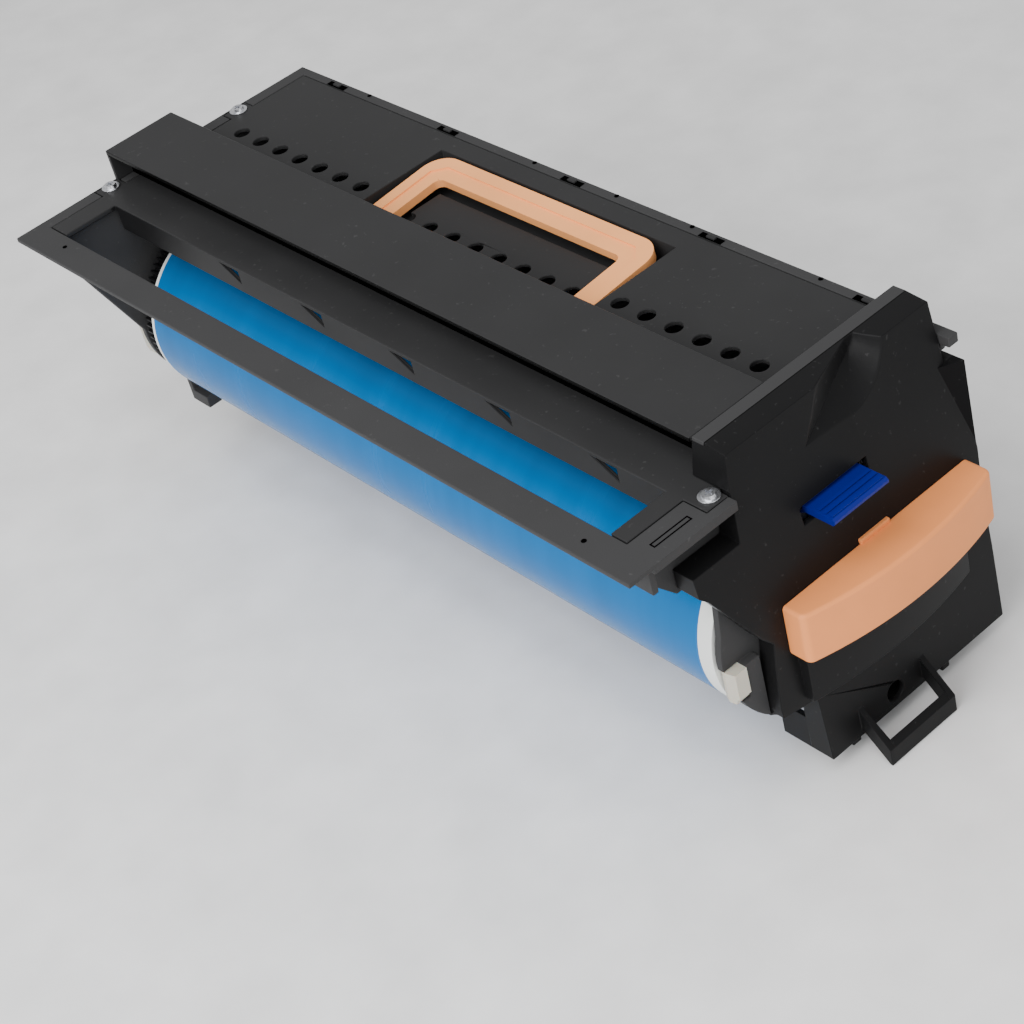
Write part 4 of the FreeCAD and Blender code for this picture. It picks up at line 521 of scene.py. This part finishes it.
class DRUMUNIT_OT_housing(bpy.types.Operator):
    """Finish the black mouldings of the housing"""

    bl_idname = "drumunit.housing"
    bl_label = "Housing"

    def execute(self, context):
        housing = context.scene.drum_unit_housing
        grain = housing.grain
        deck = plastic("satin_black_deck", housing.deck, housing.satin, grain,
                       Specular_IOR_Level=housing.deck_shine)
        # Painted shade: the hood's near edge is painted near-black.
        tint_box(deck, HOOD_EDGE_SHADE_BOX, SHADOW)
        # Painted shade: the window wall below the deck is painted in the darker cover colour.
        tint_box(deck, WINDOW_WALL_SHADE_BOX, housing.cover)
        paint(deck, "top_cover")
        rim = plastic("sparked_black_frame", housing.rim, housing.sparked, grain, bump=0.00006,
                      Specular_IOR_Level=housing.deck_shine)
        paint(rim, "main_frame")
        cover = plastic("satin_black_cover", housing.cover, housing.satin, grain,
                        Specular_IOR_Level=housing.cover_shine)
        # Painted shade: a near-black line along the cap's seam stands for the shade in its groove.
        tint_box(cover, CAP_GROOVE_SHADE_BOX, SHADOW)
        tint_box(cover, CAP_STRIP_BOX, housing.rim)
        paint(cover, "front_cover")
        cleaner = plastic("black_cleaner", housing.cover, housing.sparked, grain, bump=0.00003,
                          Specular_IOR_Level=housing.cover_shine)
        paint(cleaner, "cleaner_housing", "drive_coupling", "waste_auger")
        soften(housing.edge, "main_frame", "front_cover")
        soften(housing.edge, "top_cover", joined=True)
        return {"FINISHED"}


class DRUMUNIT_OT_screws(bpy.types.Operator):
    """Finish the screws"""

    bl_idname = "drumunit.screws"
    bl_label = "Screws"

    def execute(self, context):
        paint(metal("zinc_screw", (0.7, 0.71, 0.74), 0.3, along=400.0, across=400.0),
              "deck_screws", "blade_screws", "cover_screws")
        return {"FINISHED"}


class DRUMUNIT_OT_trim(bpy.types.Operator):
    """Model the small mouldings of the rim, the flange and the front cover, the washers, and
    sheets of painted shade
    """

    bl_idname = "drumunit.trim"
    bl_label = "Small mouldings"

    def execute(self, context):
        trim = context.scene.drum_unit_trim
        grain = context.scene.drum_unit_housing.grain
        made = bpy.data.materials
        # A near-black sheet without shine: painted shade where the real part has a recess, a
        # groove or a wall in shade.
        dark = plastic("black_recess", SHADOW, 0.7, grain, dust=0.0, Specular_IOR_Level=0.0)

        # Painted shade in the latch pockets of the far rim, with the latches standing in them.
        add_blocks("latch_pockets",
                   row_boxes(LATCH_PLACES, trim.latch / MM / 2, POCKET_ROW, POCKET_HEIGHTS),
                   dark)
        add_blocks("rim_latches", row_boxes(LATCH_PLACES, LATCH_HALF, LATCH_ROW, LATCH_HEIGHTS),
                   made["satin_black_deck"], rounding=0.3)

        # Painted shade of small round dimples on the rim and the flange.
        marks = bmesh.new()
        for place in RIM_MARKS + FLANGE_MARKS:
            disc(marks, (*place, DECK_TOP - SUNK), trim.mark / MM / 2, MARK_HEIGHT)
        add_piece("rim_marks", marks, dark)
        # Painted shade of the groove round the slot on the flange.
        add_piece("flange_slot_edge", slot_outline(trim.slot_width, trim.slot_length), dark)
        # A wall under the hood, painted near-black as painted shade.
        add_blocks("hood_inner_wall", [HOOD_WALL], dark)

        washers = bmesh.new()
        for place in SCREW_PLACES:
            disc(washers, (*place, DECK_TOP - WASHER_SUNK), WASHER_RADIUS, WASHER_HEIGHT)
        ease(washers, 0.15)
        add_piece("screw_washers", washers, made["zinc_screw"])

        wing = bmesh.new()
        for along, across, height in WING:
            for end in (along, WING_ROOT):
                wing.verts.new(Vector((end, across, height)) * MM)
        bmesh.ops.convex_hull(wing, input=wing.verts)
        # The wing has a darker copy of the cover's black: painted shade on a facet that faces the
        # light.
        add_piece("far_wing", wing,
                  plastic("shaded_black_wing", trim.wing, 0.5, grain, Specular_IOR_Level=0.05))
        add_blocks("foot_lugs", FOOT_LUGS, made["satin_black_cover"],
                   rounding=0.5)
        return {"FINISHED"}


class DRUMUNIT_OT_grips(bpy.types.Operator):
    """Finish the carry handle and the front grip, and model the grip's tab"""

    bl_idname = "drumunit.grips"
    bl_label = "Carry handle and grip"

    def execute(self, context):
        grips = context.scene.drum_unit_grips
        # The handle's peach is partly its own colour and partly painted light: lighter than the
        # grip's for its upward faces.
        for name, rgb, node in (("peach_grip", grips.peach, "front_grip"),
                                ("peach_handle", grips.handle, "carry_handle")):
            paint(plastic(name, rgb, grips.satin, dust=0.05, Specular_IOR_Level=0.2), node)
        soften(grips.edge, "front_grip")
        add_blocks("grip_tab", [GRIP_TAB], bpy.data.materials["peach_grip"],
                   rounding=0.5)
        return {"FINISHED"}


class DRUMUNIT_OT_lever(bpy.types.Operator):
    """Finish the release lever with its pin and spring"""

    bl_idname = "drumunit.lever"
    bl_label = "Release lever"

    def execute(self, context):
        grips = context.scene.drum_unit_grips
        paint(plastic("blue_lever", grips.lever, grips.satin, dust=0.05, Specular_IOR_Level=0.25),
              "release_lever")
        paint(metal("dark_wire", (0.03, 0.03, 0.032), 0.4, along=300.0, across=900.0),
              "lever_spring", "lever_pin")
        return {"FINISHED"}


class DRUMUNIT_OT_drum(bpy.types.Operator):
    """Finish the coated drum, its flanges, shaft, bearings and gears"""

    bl_idname = "drumunit.drum"
    bl_label = "Drum"

    def execute(self, context):
        drum = context.scene.drum_unit_drum
        coating = new_material(
            "drum_coating", "Streaks",
            {"Colour": opaque(drum.coating), "Roughness": drum.gloss, "Along": 60.0,
             "Across": 3.0},
            bump=0.000004, Specular_IOR_Level=drum.shine)
        paint(coating, "drum_tube")
        paint(plastic("white_ring", drum.white, 0.45), "front_drum_flange", "rear_drum_flange")
        paint(plastic("black_gear", drum.gear, 0.4, Specular_IOR_Level=0.2),
              "drum_gear", "idler_gear", "auger_gear")
        paint(metal("ground_steel", (0.6, 0.6, 0.61), 0.28, along=2500.0, across=60.0),
              "drum_shaft", "rear_bearing", "front_bearing", "idler_pin")
        return {"FINISHED"}


class DRUMUNIT_OT_cleaner(bpy.types.Operator):
    """Finish the cleaning blade, its bracket, the film and the seals"""

    bl_idname = "drumunit.cleaner"
    bl_label = "Cleaner"

    def execute(self, context):
        paint(plastic("blade_rubber", (0.35, 0.22, 0.08), 0.35, grain=0.001,
                      Subsurface_Weight=0.2, Subsurface_Scale=0.003), "cleaning_blade")
        paint(plastic("clear_film", (0.55, 0.56, 0.54), 0.2, grain=0.002, bump=0.000004),
              "recovery_film")
        paint(plastic("seal_felt", (0.02, 0.02, 0.02), 0.9, grain=0.0004, bump=0.0002, dust=0.4),
              "end_seals")
        paint(metal("zinc_bracket", (0.66, 0.67, 0.68), 0.36, along=200.0, across=200.0),
              "blade_bracket")
        return {"FINISHED"}


class DRUMUNIT_OT_spacers(bpy.types.Operator):
    """Finish the ivory spacer blocks and the ground contact"""

    bl_idname = "drumunit.spacers"
    bl_label = "Spacers and contact"

    def execute(self, context):
        ivory = plastic("ivory_moulding", context.scene.drum_unit_drum.ivory, 0.45, bump=0.00002,
                        Subsurface_Weight=0.2, Subsurface_Scale=0.002)
        paint(ivory, "front_spacer", "rear_spacer")
        paint(metal("contact_bronze", (0.62, 0.4, 0.2), 0.32, along=80.0, across=900.0),
              "ground_contact")
        return {"FINISHED"}


# Stage

def aim(place, target):
    """A transform at a place that turns an object's -Z axis at a target."""
    forward = Vector(target) - Vector(place)
    return Matrix.Translation(place) @ forward.to_track_quat("-Z", "Y").to_matrix().to_4x4()


def soft_light(name, place, target, size, watts):
    """A rectangular light of a width and height in metres."""
    lamp = bpy.data.lights.new(name, "AREA")
    lamp.shape = "RECTANGLE"
    lamp.size, lamp.size_y = size
    lamp.energy = watts
    light = bpy.data.objects.new(name, lamp)
    light.matrix_world = aim(place, target)
    bpy.context.scene.collection.objects.link(light)


class DRUMUNIT_OT_stage(bpy.types.Operator):
    """Make the floor, the studio light and the camera"""

    bl_idname = "drumunit.stage"
    bl_label = "Stage"

    def execute(self, context):
        stage = context.scene.drum_unit_stage
        low, high = cad_box
        mesh = bpy.data.meshes.new("studio_floor")
        shape = bmesh.new()
        bmesh.ops.create_grid(shape, x_segments=1, y_segments=1, size=FLOOR_HALF)
        bmesh.ops.translate(shape, verts=shape.verts, vec=(FLOOR_CENTRE, 0, low.z - FLOOR_GAP))
        shape.to_mesh(mesh)
        shape.free()
        floor = bpy.data.objects.new("studio_floor", mesh)
        context.scene.collection.objects.link(floor)
        mesh.materials.append(plastic("pale_paper", stage.floor, 0.75, dust=0.0))

        world = bpy.data.worlds.new("studio")
        context.scene.world = world
        world.use_nodes = True
        sky = world.node_tree.nodes["Background"]
        sky.inputs["Color"].default_value = (1.0, 1.0, 1.0, 1.0)
        sky.inputs["Strength"].default_value = stage.sky

        centre = (low + high) / 2
        for name, setting, offset, size in LIGHTS:
            soft_light(name, centre + Vector(offset), centre, size, getattr(stage, setting))

        lens = bpy.data.cameras.new("camera")
        lens.sensor_width = SENSOR
        lens.lens = stage.lens * 1000  # the camera takes millimetres
        camera = bpy.data.objects.new("camera", lens)
        camera.matrix_world = CAMERA_PLACE
        context.scene.collection.objects.link(camera)
        context.scene.camera = camera
        return {"FINISHED"}


class DRUMUNIT_PT_sidebar(bpy.types.Panel):
    """Lists the pieces and their settings"""

    bl_idname = "DRUMUNIT_PT_sidebar"
    bl_label = "Drum unit"
    bl_space_type = "VIEW_3D"
    bl_region_type = "UI"
    bl_category = "Drum Unit"

    def draw(self, context):
        for operator in OPERATORS:
            self.layout.operator(operator.bl_idname)
        for name, group in SETTINGS:
            column = self.layout.column()
            settings = getattr(context.scene, name)
            for key in group.__annotations__:
                column.prop(settings, key)


# In the order in which they run: the trim uses materials of the housing and the screws.
OPERATORS = (
    DRUMUNIT_OT_housing, DRUMUNIT_OT_screws, DRUMUNIT_OT_trim, DRUMUNIT_OT_grips,
    DRUMUNIT_OT_lever, DRUMUNIT_OT_drum, DRUMUNIT_OT_cleaner, DRUMUNIT_OT_spacers,
    DRUMUNIT_OT_stage)
SETTINGS = (
    ("drum_unit_housing", HousingSettings), ("drum_unit_trim", TrimSettings),
    ("drum_unit_grips", GripSettings), ("drum_unit_drum", DrumSettings),
    ("drum_unit_stage", StageSettings))


def register():
    for name, group in SETTINGS:
        bpy.utils.register_class(group)
        setattr(bpy.types.Scene, name, PointerProperty(type=group))
    for made in OPERATORS:
        bpy.utils.register_class(made)
    bpy.utils.register_class(DRUMUNIT_PT_sidebar)


def unregister():
    bpy.utils.unregister_class(DRUMUNIT_PT_sidebar)
    for made in reversed(OPERATORS):
        bpy.utils.unregister_class(made)
    for name, group in reversed(SETTINGS):
        delattr(bpy.types.Scene, name)
        bpy.utils.unregister_class(group)


def main():
    register()
    for operator in OPERATORS:
        family, action = operator.bl_idname.split(".")
        getattr(getattr(bpy.ops, family), action)()


if __name__ == "__main__":
    main()
